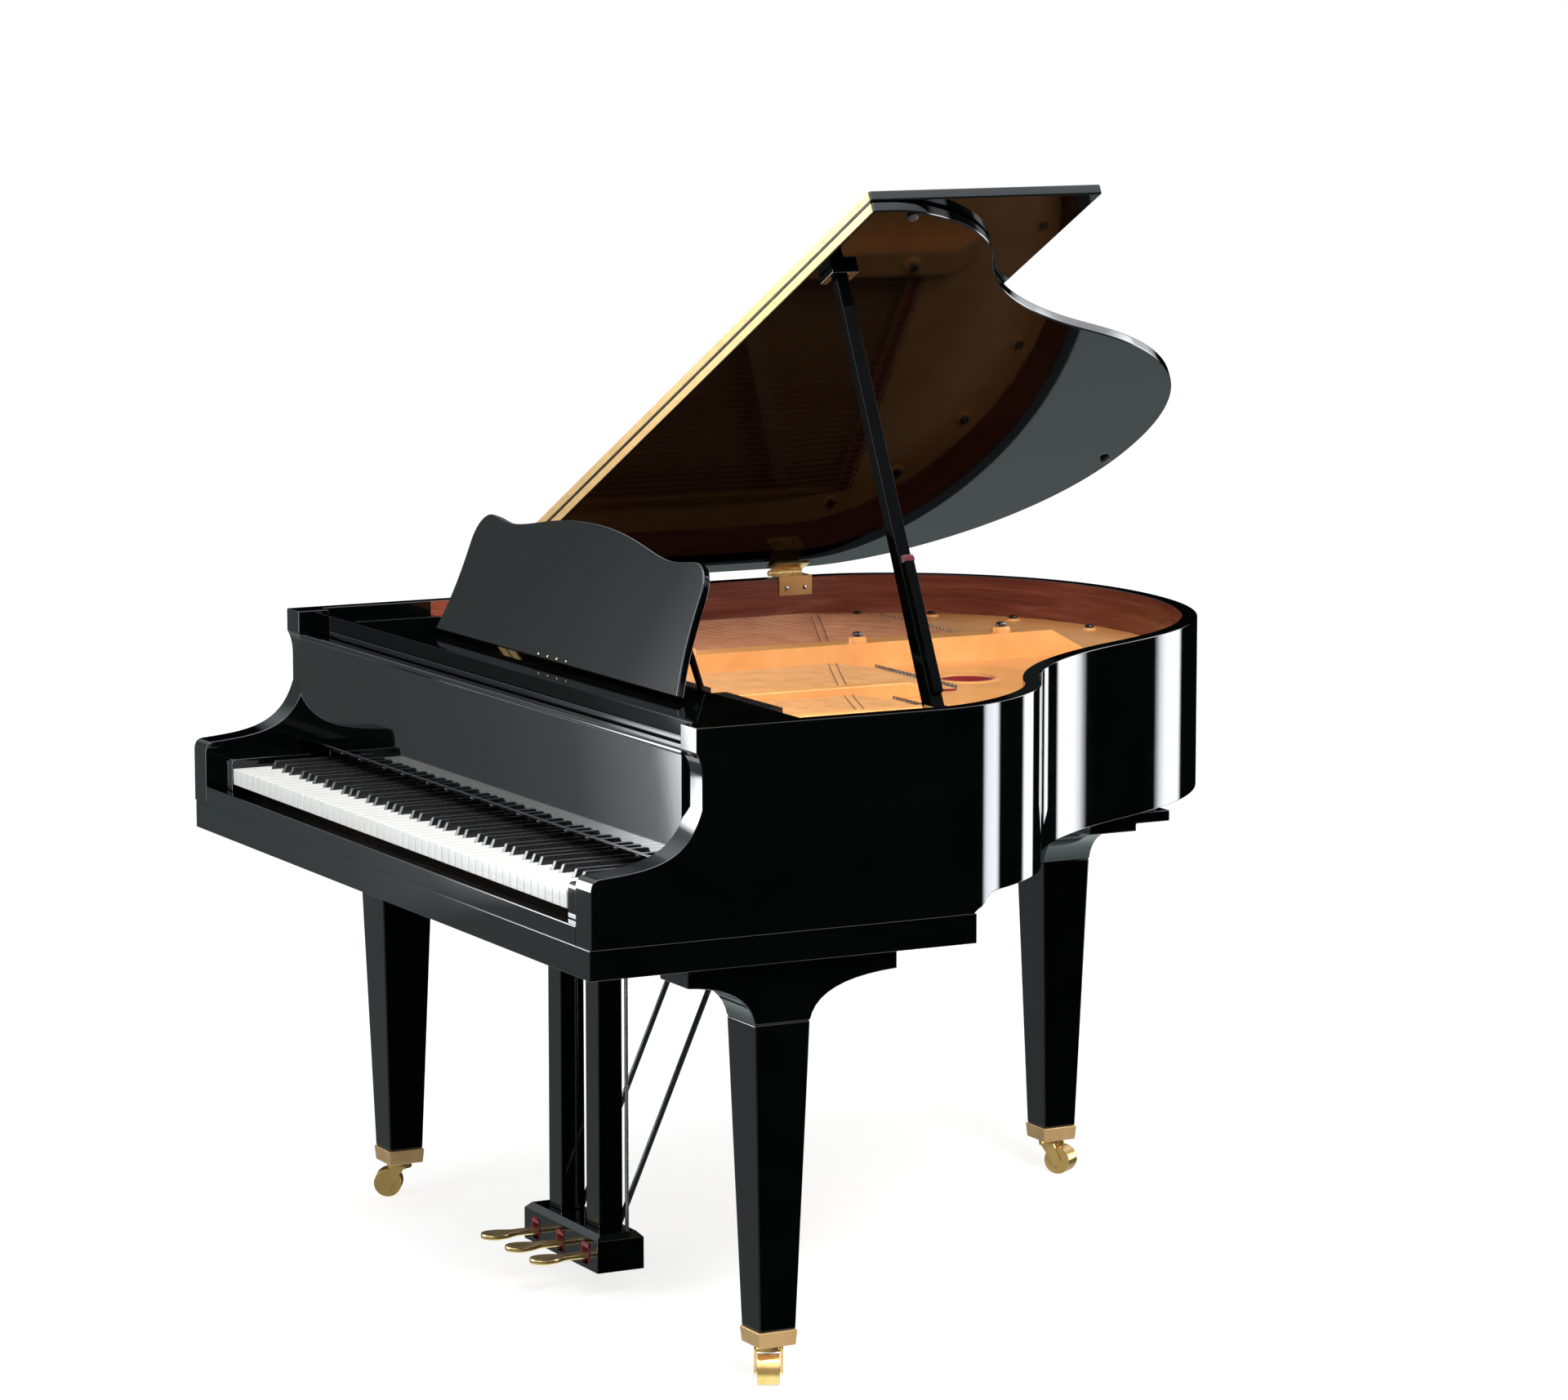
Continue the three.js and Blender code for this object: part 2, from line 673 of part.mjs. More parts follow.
add('pin_block', box(-rimInner + gap, rimInner - gap, plateFront, pinBlockBack,
  soundboardBottom, plateBottom), 'bareWood');

function ironPlate() {
  const offset = innerFace - 0.2;
  const past = 5;
  const web = plan(outlineShape(offset, plateFront), plateBottom, plateTop);
  const [bass, tenor] = bays;
  const strutBack = bass.back + 40;
  const strutTail = strutBack + plateStrutTail;
  const profile = flat([[bayFront, plateBottom], [strutTail, plateBottom], [strutTail, plateTop + 1],
    [strutBack, plateStrutTop], [bayFront + 30, plateStrutTop], [bayFront, plateTop + 1]]);
  const strut = side(profile, bass.x1 + 8, tenor.x0 - 8);
  const holes = bays.map((bay) => (
    box(bay.x0, bay.x1, bayFront, bay.back, plateBottom - past, plateTop + past)));
  const round = rod([plateHole.x, plateHole.y, plateBottom - past],
    [plateHole.x, plateHole.y, plateTop + past], plateHole.r, 24);
  const region = plan(outlineShape(offset, plateFront), soundboardBottom, plateStrutTop + 1);
  const casting = joined(web, strut).intersect(solid(region));
  return [...holes, round].reduce((plate, hole) => plate.subtract(solid(hole)), casting);
}
add('iron_plate', geometryOf(ironPlate()), 'gilt');

// Bridge: a curved bar under the strings, notched where the plate's bars pass over it.
function bridge() {
  const steps = 14;
  const [start, end] = bridgeEnds;
  const [startPull, endPull] = bridgePulls;
  const line = new THREE.CubicBezierCurve(...[start, startPull, endPull, end]
    .map(([x, y]) => new THREE.Vector2(x, y)));
  const near = [];
  const far = [];
  for (let step = 0; step <= steps; step += 1) {
    const at = line.getPoint(step / steps);
    const along = line.getTangent(step / steps).multiplyScalar(bridgeWidth / 2);
    near.push([at.x - along.y, at.y + along.x]);
    far.push([at.x + along.y, at.y - along.x]);
  }
  const bar = plan(flat([...near, ...far.reverse()]), soundboardTop, stringZ - gap);
  const passes = bays.slice(1).map((bay, index) => (
    box(bays[index].x1 - 1, bay.x0 + 1, bellyRailY, tailY, plateBottom - 1, rimTop)));
  return passes.reduce((whole, cut) => whole.subtract(solid(cut)), solid(bar));
}
add('bridge', geometryOf(bridge()), 'bareWood');

// Where the strings of a bay lie, evenly spread over its width.
function stringPlaces(bay) {
  const count = Math.floor((bay.x1 - bay.x0) / stringPitch);
  const first = (bay.x0 + bay.x1 - (count - 1) * stringPitch) / 2;
  return Array.from({ length: count }, (_, n) => first + n * stringPitch);
}

function strings() {
  const half = stringSize / 2;
  const top = stringZ + stringSize;
  const agraffeBack = agraffeY + agraffeDepth;
  const pieces = [box(bays[0].x0, bays[bays.length - 1].x1, agraffeY, agraffeBack, plateTop, top)];
  for (const bay of bays) {
    for (const x of stringPlaces(bay)) {
      pieces.push(box(x - half, x + half, agraffeBack - 1, bay.back + stringOverrun, stringZ, top));
    }
  }
  return joined(...pieces);
}
add('strings', geometryOf(strings()), 'steel');

// Damper heads stand over every other string, on wires that rise from a rail behind the hammers.
function dampers() {
  const railTop = actionTop + damperRail.z;
  const middle = damperRailFront + damperRail.y / 2;
  const seat = stringZ + stringSize + gap;
  const pieces = [box(dampedBays[0].x0, dampedBays[2].x1, damperRailFront, damperRailFront + damperRail.y,
    actionTop + gap, railTop)];
  for (const bay of dampedBays) {
    const places = stringPlaces(bay);
    for (let n = 0; n + 1 < places.length; n += 2) {
      const x = (places[n] + places[n + 1]) / 2;
      pieces.push(box(x - damperWire.x / 2, x + damperWire.x / 2, middle - damperWire.y / 2,
        middle + damperWire.y / 2, railTop - 2, seat + 4));
      pieces.push(box(x - damperHead.x / 2, x + damperHead.x / 2, middle - damperHead.y / 2,
        middle + damperHead.y / 2, seat, seat + damperHead.z));
    }
  }
  return joined(...pieces);
}
add('damper_rack', geometryOf(dampers()), 'ebony');

// ---------------------------------------------------------------- lid

const rimLeafBottom = rimTop + gap;
const rimLeafTop = rimLeafBottom + hingeLeaf;
const lidBottom = rimTop + lidClearance;
const lidTop = lidBottom + lidThickness;
const lidLeafTop = lidBottom - gap;
const lidLeafBottom = lidLeafTop - hingeLeaf;
const lidEdge = caseHalfWidth + lidOverhang;
const hingeAxis = { x: -lidEdge - hingeStandoff, z: (rimLeafTop + lidLeafBottom) / 2 };

// Lid pieces are drawn closed, then swung open about the hinge.
const lidSwing = new THREE.Group();
lidSwing.position.set(hingeAxis.x, 0, hingeAxis.z);
lidSwing.rotation.y = -radians(lidOpening);
piano.add(lidSwing);
const lid = new THREE.Group();
lid.position.set(-hingeAxis.x, 0, -hingeAxis.z);
lidSwing.add(lid);

add('main_lid', plan(outlineShape(lidOverhang, lidFold), lidBottom, lidTop), 'lacquer', lid);

// Folded back, the flap lies upside down on the main lid.
add('front_lid', box(-lidEdge, lidEdge, lidFold, lidFold + flapDepth,
  lidTop + flapGap, lidTop + flapGap + lidThickness), 'lacquer', lid);

function foldHinge() {
  const length = lidEdge - 4;
  const leafFront = lidFold - gap - foldLeaf;
  const axis = { y: leafFront - 0.5, z: lidTop + flapGap / 2 };
  const leaf = box(-length, length, leafFront, lidFold - gap, lidBottom + 1, lidTop + flapGap - gap);
  const barrel = rod([-length, axis.y, axis.z], [length, axis.y, axis.z], foldBarrel, 8);
  return joined(leaf, barrel);
}
add('fold_hinge', geometryOf(foldHinge()), 'brass', lid);

// Butt hinges on the bass side: the rim leaf lies on the rim and turns down its inner face.
for (const [name, y] of Object.entries(hingePlaces)) {
  const y0 = y - hingeLength / 2;
  const y1 = y0 + hingeLength;
  const lower = y0 + hingeLength / 3;
  const upper = y1 - hingeLength / 3;
  const inner = -rimInner + gap;
  const leafStart = hingeAxis.x + hingeBarrel + gap;
  const tabEnd = leafStart + 1;
  const barrel = (a, b) => rod([hingeAxis.x, a, hingeAxis.z], [hingeAxis.x, b, hingeAxis.z], hingeBarrel);
  const rimLeaf = box(leafStart, inner + hingeLeaf, y0, y1, rimLeafBottom, rimLeafTop);
  const rimTab = box(hingeAxis.x, tabEnd, lower + gap, upper - gap, rimLeafBottom, rimLeafTop);
  const turned = box(inner, inner + hingeLeaf, y0, y1, rimTop - hingeTurnDown, rimLeafTop);
  add(`lid_hinge_${name}_rim_leaf`,
    geometryOf(joined(rimLeaf, rimTab, turned, barrel(lower + gap, upper - gap))), 'brass');
  const ends = [[y0, lower], [upper, y1]];
  const lidLeaf = box(leafStart, -rimInner, y0, y1, lidLeafBottom, lidLeafTop);
  const tabs = ends.map(([a, b]) => box(hingeAxis.x, tabEnd, a, b, lidLeafBottom, lidLeafTop));
  const barrels = ends.map(([a, b]) => barrel(a, b));
  add(`lid_hinge_${name}_lid_leaf`, geometryOf(joined(lidLeaf, ...tabs, ...barrels)), 'brass', lid);
}

// ---------------------------------------------------------------- lid prop

// The long prop stands nearly square to the lid; its foot turns in a bracket inside the treble rim.
const toPivot = { x: propPivot.x - hingeAxis.x, z: propPivot.z - hingeAxis.z };
const [cosOpen, sinOpen] = [Math.cos(radians(lidOpening)), Math.sin(radians(lidOpening))];
const pivotBelowLid = toPivot.x * sinOpen - toPivot.z * cosOpen + lidBottom - hingeAxis.z;
const propSkew = radians(lidOpening - propLean);
const propLength = (pivotBelowLid - gap - cupFloor - propTipClearance) / Math.cos(propSkew);
const cupAlong = toPivot.x * cosOpen + toPivot.z * sinOpen + propLength * Math.sin(propSkew);

const propSwing = new THREE.Group();
propSwing.position.set(propPivot.x, propPivot.y, propPivot.z);
propSwing.rotation.y = -radians(propLean);
piano.add(propSwing);

function longProp() {
  const shape = new THREE.Shape();
  shape.moveTo(propFoot, 0);
  shape.lineTo(propTip, propLength - propTipChamfer);
  shape.lineTo(propTip - 3, propLength);
  shape.lineTo(3 - propTip, propLength);
  shape.lineTo(-propTip, propLength - propTipChamfer);
  shape.lineTo(-propFoot, 0);
  shape.absarc(0, 0, propFoot, Math.PI, 2 * Math.PI, false);
  return front(shape, -propDepth / 2, propDepth / 2);
}
add('lid_prop', longProp(), 'lacquer', propSwing);

// The short prop folds against the outer side of the long one.
function shortProp() {
  const taper = (propFoot - propTip) / propLength;
  const near = (s) => propFoot - taper * s + gap;
  const far = near(shortPropEnd) + shortPropThickness;
  const shape = flat([[near(shortPropStart), shortPropStart],
    [near(shortPropStart) + shortPropThickness, shortPropStart], [far, shortPropEnd - 6],
    [far - 5, shortPropEnd], [near(shortPropEnd), shortPropEnd]]);
  return front(shape, -shortPropDepth / 2, shortPropDepth / 2);
}
add('short_prop', shortProp(), 'lacquer', propSwing);

function propBracket() {
  const wallX = rimInner - gap;
  const x0 = propPivot.x - bracketHalf;
  const inside = propDepth / 2 + 0.5;
  const z0 = propPivot.z - propFoot - bracketFloor - 4;
  const z1 = rimTop - 3;
  const cheeks = [-inside - bracketCheek, inside].map((y) => (
    box(x0, wallX, propPivot.y + y, propPivot.y + y + bracketCheek, z0, z1)));
  const floor = box(x0, wallX, propPivot.y - inside - 1, propPivot.y + inside + 1, z0, z0 + bracketFloor);
  return joined(...cheeks, floor).intersect(solid(plan(outlineShape(innerFace, bellyRailY), z0, z1)));
}
add('prop_bracket', geometryOf(propBracket()), 'brass');

// Cup on the lid for the prop's tip, open on the side the prop leaves by.
function propCup() {
  const x = hingeAxis.x + cupAlong;
  const half = cupSize / 2;
  const slotHalf = propDepth / 2 + 1;
  const top = lidBottom - gap;
  const block = box(x - half, x + half, propPivot.y - half, propPivot.y + half, top - cupDepth, top);
  const slot = box(x - half - 1, x + propTip + 1, propPivot.y - slotHalf, propPivot.y + slotHalf,
    top - cupDepth - 1, top - cupFloor);
  return solid(block).subtract(solid(slot));
}
add('prop_cup', geometryOf(propCup()), 'lacquer', lid);

// ---------------------------------------------------------------- legs and casters

// Side profile of a block: flat top, square ends, and concave sweeps down to the leg.
function blockProfile(reachFront, reachBack, top, step) {
  const half = legTopHalf;
  const shape = new THREE.Shape();
  shape.moveTo(-half, legTop);
  shape.lineTo(half, legTop);
  shape.quadraticCurveTo(half + 12, step - sweepDrop, half + reachBack, step);
  shape.lineTo(half + reachBack, top);
  shape.lineTo(-half - reachFront, top);
  shape.lineTo(-half - reachFront, step);
  shape.quadraticCurveTo(-half - 10, step - sweepDrop, -half, legTop);
  return shape;
}

function frontLegBlock() {
  const profile = blockProfile(blockReachFront, blockReach, keybedBottom, keybedBottom - blockThickness);
  return side(profile, -legTopHalf, legTopHalf);
}

// The rear leg carries planks that build up to the beams.
function rearLegBlock() {
  const plankBottom = rearBlock.bottom + rearBlock.thickness;
  const plankTop = plankBottom + rearPlank.thickness;
  const profile = blockProfile(rearBlock.reach, rearBlock.reach, plankBottom + 1, rearBlock.bottom);
  const sweep = front(profile, -legTopHalf, legTopHalf);
  const plank = box(-rearPlank.halfX, rearPlank.halfX, -rearPlank.halfY, rearPlank.halfY,
    plankBottom, plankTop);
  const cleat = box(-rearCleat.halfX, rearCleat.halfX, -rearCleat.halfY, rearCleat.halfY,
    plankTop - 1, rimRearBottom - gap);
  return joined(sweep, plank, cleat);
}

const ferruleTop = legBottom - gap;
const ferruleBottom = ferruleTop - ferruleHeight;
const crownTop = ferruleBottom - gap;
const crownBottom = wheelRadius * 2 + 2;

// Fork with two cheeks and the axle's eyes; the wheel trails behind the swivel.
function fork() {
  const inside = wheelWidth / 2 + wheelClear;
  const shoulder = crownBottom + forkCheek;
  const crown = rod([0, 0, crownBottom], [0, 0, crownTop], crownRadius, 16);
  const arm = new THREE.Shape();
  arm.moveTo(-forkFront, shoulder);
  arm.lineTo(forkBack, shoulder);
  arm.lineTo(casterTrail + forkEye, wheelRadius);
  arm.absarc(casterTrail, wheelRadius, forkEye, 0, -Math.PI, true);
  const cheeks = [-inside - forkCheek, inside].map((x) => side(arm, x, x + forkCheek));
  const saddle = box(-inside - forkCheek, inside + forkCheek, -forkFront, forkBack, crownBottom, shoulder);
  return joined(crown, saddle, ...cheeks);
}

function wheel() {
  const corner = wheelRadius / Math.cos(Math.PI / wheelSides);
  const tyre = cylinder(corner, wheelWidth, wheelSides).rotateY(Math.PI / wheelSides).rotateZ(Math.PI / 2);
  const axle = cylinder(axleRadius, wheelWidth + 2 * (wheelClear - gap), 12).rotateZ(Math.PI / 2);
  return joined(tyre, axle);
}

const legSites = [
  { name: 'left', at: { x: -frontLeg.x, y: frontLeg.y }, turn: 150 },
  { name: 'right', at: frontLeg, turn: -118 },
  { name: 'rear', at: rearLeg, turn: -55 },
];
for (const { name, at, turn } of legSites) {
  const site = new THREE.Group();
  site.position.set(at.x, at.y, 0);
  piano.add(site);
  add(`leg_${name}`, squarePost(legTopHalf, legBottomHalf, legBottom, legTop), 'lacquer', site);
  const block = name === 'rear' ? geometryOf(rearLegBlock()) : frontLegBlock();
  add(`leg_block_${name}`, block, 'lacquer', site);
  add(`ferrule_${name}`, squarePost(legBottomHalf + ferruleFlare, legBottomHalf, ferruleBottom, ferruleTop),
    'brass', site);
  const swivel = new THREE.Group();
  swivel.rotation.z = radians(turn);
  site.add(swivel);
  add(`caster_fork_${name}`, geometryOf(fork()), 'brass', swivel);
  const roller = add(`caster_wheel_${name}`, geometryOf(wheel()), 'brass', swivel);
  roller.position.set(0, casterTrail, wheelRadius);
}

// ---------------------------------------------------------------- lyre and pedals

const pedalSites = [['left', -pedalPitch], ['middle', 0], ['right', pedalPitch]];

function lyreFrame() {
  const half = lyrePostWidth / 2;
  const headBottom = keybedBottom - lyreHeadThickness;
  const headHalf = lyrePostX + half + lyreHeadReach;
  const posts = [-lyrePostX, lyrePostX].map((x) => (
    box(x - half, x + half, lyrePostFront, lyrePostFront + lyrePostDepth, boxTop + gap, headBottom + 1)));
  const headBack = rodY - rodRadius - rodClear;
  const head = box(-headHalf, headHalf, lyrePostFront - 8, headBack, headBottom, keybedBottom);
  return joined(...posts, head);
}
add('lyre_frame', geometryOf(lyreFrame()), 'lacquer');

function pedalBox() {
  const chamfer = boxChamfer;
  const lengthwise = side(flat([[boxFront, boxBottom], [boxBack, boxBottom], [boxBack, boxTop - chamfer],
    [boxBack - chamfer, boxTop], [boxFront + chamfer, boxTop], [boxFront, boxTop - chamfer]]),
  -boxHalfWidth, boxHalfWidth);
  const ends = front(flat([[-boxHalfWidth, boxBottom], [boxHalfWidth, boxBottom],
    [boxHalfWidth, boxTop - chamfer], [boxHalfWidth - chamfer, boxTop], [chamfer - boxHalfWidth, boxTop],
    [-boxHalfWidth, boxTop - chamfer]]), boxFront, boxBack);
  let whole = solid(lengthwise).intersect(solid(ends));
  for (const [, x] of pedalSites) {
    const slotTop = pedalPivot.z + pedalSlot.above;
    const slot = box(x - pedalSlot.halfX, x + pedalSlot.halfX, boxFront - 1, boxBack - boxBackWall,
      pedalPivot.z - pedalSlot.below, slotTop);
    const hole = rod([x, rodY, slotTop - 1], [x, rodY, boxTop + 1], rodRadius + rodClear);
    whole = whole.subtract(solid(slot)).subtract(solid(hole));
  }
  return whole;
}
add('pedal_box', geometryOf(pedalBox()), 'lacquer');

// Plan of a pedal: a rounded toe, a narrow neck and a straight shank.
function pedal(x) {
  const shankBack = rodY + rodRadius;
  const cheek = pedalTip + 20;
  const shape = new THREE.Shape();
  shape.moveTo(-pedalNeck, shankBack);
  shape.lineTo(-pedalNeck, cheek + 38);
  shape.bezierCurveTo(-pedalNeck, cheek + 26, -pedalToe, cheek + 20, -pedalToe, cheek);
  shape.bezierCurveTo(-pedalToe, pedalTip - 6, pedalToe, pedalTip - 6, pedalToe, cheek);
  shape.bezierCurveTo(pedalToe, cheek + 20, pedalNeck, cheek + 26, pedalNeck, cheek + 38);
  shape.lineTo(pedalNeck, shankBack);
  const half = pedalThickness / 2;
  return plan(shape, pedalPivot.z - half, pedalPivot.z + half).translate(x, 0, 0);
}
for (const [name, x] of pedalSites) {
  const seat = pedalPivot.z + pedalThickness / 2 + gap;
  add(`pedal_${name}`, pedal(x), 'brass');
  add(`pedal_rod_${name}`, rod([x, rodY, seat], [x, rodY, rodTop], rodRadius), 'steel');
}

// Two slanting braces behind the posts, from the pedal box back to the keybed.
for (const [name, sign] of [['left', -1], ['right', 1]]) {
  const footY = lyrePostFront + lyrePostDepth + braceRadius * 1.15 + gap;
  const low = new THREE.Vector3(sign * lyrePostX, footY, boxTop);
  const high = new THREE.Vector3(sign * lyrePostX, braceHeadY, keybedBottom);
  const past = high.clone().sub(low).setLength(30);
  const from = low.clone().sub(past);
  const to = high.clone().add(past);
  const between = box(-boxHalfWidth, boxHalfWidth, boxFront, keybedBack, boxTop + gap, keybedBottom - gap);
  const brace = solid(rod(from.toArray(), to.toArray(), braceRadius, 10)).intersect(solid(between));
  add(`lyre_brace_${name}`, geometryOf(brace), 'lacquer');
}

// ---------------------------------------------------------------- origin

piano.updateMatrixWorld(true);
const footprint = new THREE.Box3().setFromObject(piano, true).getCenter(new THREE.Vector3());
piano.position.set(-footprint.x, -footprint.y, 0);

export default piano;
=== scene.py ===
# Baby grand piano with its lid raised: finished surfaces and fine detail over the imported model.
import json
import math

import bmesh
import bpy
from mathutils import Matrix, Vector


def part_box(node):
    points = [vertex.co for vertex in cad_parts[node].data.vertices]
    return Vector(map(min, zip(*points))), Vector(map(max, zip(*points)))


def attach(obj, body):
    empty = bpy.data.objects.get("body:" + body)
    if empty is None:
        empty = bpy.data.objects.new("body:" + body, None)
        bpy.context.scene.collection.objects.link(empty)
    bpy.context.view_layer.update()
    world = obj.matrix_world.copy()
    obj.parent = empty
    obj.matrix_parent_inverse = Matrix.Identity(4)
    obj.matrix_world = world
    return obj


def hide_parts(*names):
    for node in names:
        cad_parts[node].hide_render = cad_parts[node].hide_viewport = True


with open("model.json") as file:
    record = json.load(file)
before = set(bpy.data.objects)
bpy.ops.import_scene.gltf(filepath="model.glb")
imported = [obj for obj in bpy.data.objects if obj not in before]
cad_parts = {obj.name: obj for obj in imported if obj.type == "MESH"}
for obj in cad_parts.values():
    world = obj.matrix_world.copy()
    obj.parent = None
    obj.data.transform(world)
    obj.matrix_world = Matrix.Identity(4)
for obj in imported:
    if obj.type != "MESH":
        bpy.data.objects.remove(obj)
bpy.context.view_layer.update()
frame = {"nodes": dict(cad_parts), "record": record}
nodes = frame["nodes"]
bodies = frame["record"]["behaviour"]["bodies"]
body_of = {node: body for body, members in bodies.items() for node in members}

# Sizes below are in millimetres. X is 0 at the middle of the keyboard, Y is FRONT at the
# keybed's front edge, and Z is 0 at the floor. The keybed's box ties them to the frame.
FRONT = -755.0
bed_low, bed_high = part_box("keybed")
shift = Vector(((bed_low.x + bed_high.x) / 2, bed_low.y - FRONT / 1000, 0.0))


def metres(p):
    return Vector((p[0] / 1000, p[1] / 1000, p[2] / 1000)) + shift


# ---------------------------------------------------------------- node trees

def grey(value):
    return (value, value, value)


class Nodes:
    """A node tree, with helpers that add nodes to it."""

    def __init__(self, tree):
        self.tree = tree

    def put(self, value, socket):
        """Links another node's output to an input, or gives the input a fixed value."""
        if isinstance(value, bpy.types.NodeSocket):
            self.tree.links.new(value, socket)
        else:
            socket.default_value = value

    def node(self, kind, *values, **named):
        """A new node. Plain values go to its inputs in order, and a named value goes to the
        input of that name, or else to the property."""
        made = self.tree.nodes.new(kind)
        for key, value in named.items():
            socket = made.inputs.get(key.replace("_", " "))
            if socket is None:
                setattr(made, key, value)
            else:
                self.put(value, socket)
        for value, socket in zip(values, made.inputs):
            self.put(value, socket)
        return made

    def ramp(self, value, *stops):
        """A colour ramp; each stop is a place with a colour or a level of grey."""
        made = self.node("ShaderNodeValToRGB", value)
        elements = made.color_ramp.elements
        while len(elements) < len(stops):
            elements.new(0.5)
        for element, (position, tone) in zip(elements, stops):
            element.position = position
            element.color = (*(tone if isinstance(tone, tuple) else grey(tone)), 1)
        return made.outputs["Color"]

    def mix(self, factor, low, high, kind="MIX"):
        """A blend of two colours, which are the mix node's inputs 6 and 7."""
        made = self.node("ShaderNodeMix", factor, data_type="RGBA", blend_type=kind)
        self.put(low, made.inputs[6])
        self.put(high, made.inputs[7])
        return made.outputs[2]

    def choose(self, factor, low, high):
        """The low shader where the factor is 0, and the high one where it is 1."""
        return self.node("ShaderNodeMixShader", factor, low, high).outputs[0]

    def direct(self, ray):
        """1 for a ray from the camera, or one that has come through something clear."""
        return self.node("ShaderNodeMath", ray["Is Camera Ray"], ray["Is Transmission Ray"],
                         operation="MAXIMUM").outputs[0]


# ---------------------------------------------------------------- materials

class Shader(Nodes):
    """A node material with one Principled shader and helpers for its inputs."""

    def __init__(self, name, colour, roughness, **sockets):
        self.material = bpy.data.materials.new(name)
        self.material.use_nodes = True
        super().__init__(self.material.node_tree)
        self.shader = self.tree.nodes["Principled BSDF"]
        self.coords = self.node("ShaderNodeTexCoord").outputs["Object"]
        self.put((*colour, 1), self.shader.inputs["Base Color"])
        self.put(roughness, self.shader.inputs["Roughness"])
        for socket, value in sockets.items():
            self.put(value, self.shader.inputs[socket.replace("_", " ")])

    def place(self, scale=(1, 1, 1), turn=(0, 0, 0)):
        """Object coordinates, stretched and turned."""
        return self.node("ShaderNodeMapping", self.coords, Scale=scale,
                         Rotation=turn).outputs["Vector"]

    def noise(self, scale, detail=4.0, roughness=0.55, stretch=(1, 1, 1), distortion=0.0,
              turn=(0, 0, 0)):
        return self.node("ShaderNodeTexNoise", Vector=self.place(stretch, turn), Scale=scale,
                         Detail=detail, Roughness=roughness, Distortion=distortion).outputs["Fac"]

    def wave(self, scale, distortion=0.0, direction="X", turn=(0, 0, 0)):
        return self.node("ShaderNodeTexWave", Vector=self.place(turn=turn), Scale=scale, Detail=2.0,
                         Distortion=distortion, bands_direction=direction).outputs["Fac"]

    def multiply(self, low, high, amount):
        return self.mix(amount, low, high, "MULTIPLY")

    def colour(self, value):
        self.put(value, self.shader.inputs["Base Color"])

    def rough(self, value, low, high):
        """Roughness from low to high as the value goes from 0 to 1."""
        made = self.node("ShaderNodeMapRange", Value=value, To_Min=low, To_Max=high)
        self.put(made.outputs["Result"], self.shader.inputs["Roughness"])

    def bump(self, value, strength, distance):
        made = self.node("ShaderNodeBump", Height=value, Strength=strength, Distance=distance)
        self.put(made.outputs["Normal"], self.shader.inputs["Normal"])


def lacquer(name, index):
    """Polished black; a lower index of refraction makes its reflections weaker."""
    s = Shader(name, (0.0008, 0.0009, 0.0009), 0.03, IOR=index)
    s.colour(s.ramp(s.noise(9, 3), (0.3, (0.0005, 0.0006, 0.0006)),
                    (0.75, (0.0011, 0.0013, 0.0013))))
    s.rough(s.noise(26, 6, 0.7), 0.015, 0.06)
    s.bump(s.noise(38, 2), 0.02, 0.0006)
    return s.material


def satin_black():
    s = Shader("black_paint", (0.006, 0.006, 0.006), 0.35)
    s.colour(s.ramp(s.noise(40, 5), (0.3, grey(0.004)), (0.7, grey(0.009))))
    s.rough(s.noise(120, 4), 0.28, 0.48)
    s.bump(s.noise(420, 3), 0.12, 0.0004)
    return s.material


def mahogany():
    s = Shader("mahogany_veneer", (0.2, 0.05, 0.03), 0.3, Coat_Weight=0.15, Coat_Roughness=0.15)
    broad = s.noise(3.2, 5, 0.6, (1, 1, 14), 1.2)
    fine = s.noise(11, 8, 0.7, (1, 1, 40), 0.4)
    tone = s.ramp(broad, (0.28, (0.13, 0.03, 0.018)), (0.52, (0.22, 0.055, 0.032)),
                  (0.78, (0.32, 0.1, 0.058)))
    streak = s.ramp(fine, (0.36, (0.55, 0.5, 0.46)), (0.6, (1, 1, 1)))
    s.colour(s.multiply(tone, streak, 0.8))
    s.rough(fine, 0.16, 0.34)
    s.bump(fine, 0.08, 0.0003)
    return s.material


def gilt():
    s = Shader("gold_painted_iron", (0.86, 0.4, 0.13), 0.36, Metallic=0.12, Coat_Weight=0.15,
               Coat_Roughness=0.25)
    cast = s.noise(16, 5, 0.6)
    s.colour(s.ramp(cast, (0.25, (0.78, 0.33, 0.1)), (0.55, (0.87, 0.41, 0.135)),
                    (0.85, (0.93, 0.5, 0.19))))
    s.rough(s.noise(90, 6, 0.7), 0.26, 0.46)
    s.bump(s.noise(240, 6, 0.65), 0.22, 0.0006)
    return s.material


def brass(name, colour, roughness, metal):
    """Brass or another yellow metal, duller and darker in patches."""
    s = Shader(name, colour, roughness[0], Metallic=metal)
    r, g, b = colour
    worn = s.noise(28, 5, 0.65)
    s.colour(s.ramp(worn, (0.25, (r * 0.8, g * 0.76, b * 0.7)), (0.6, colour),
                    (0.85, (min(1, r * 1.1), g * 1.14, b * 1.3))))
    s.rough(s.noise(140, 5, 0.7), *roughness)
    s.bump(s.noise(600, 2, 0.5, (1, 1, 6)), 0.05, 0.0003)
    return s.material


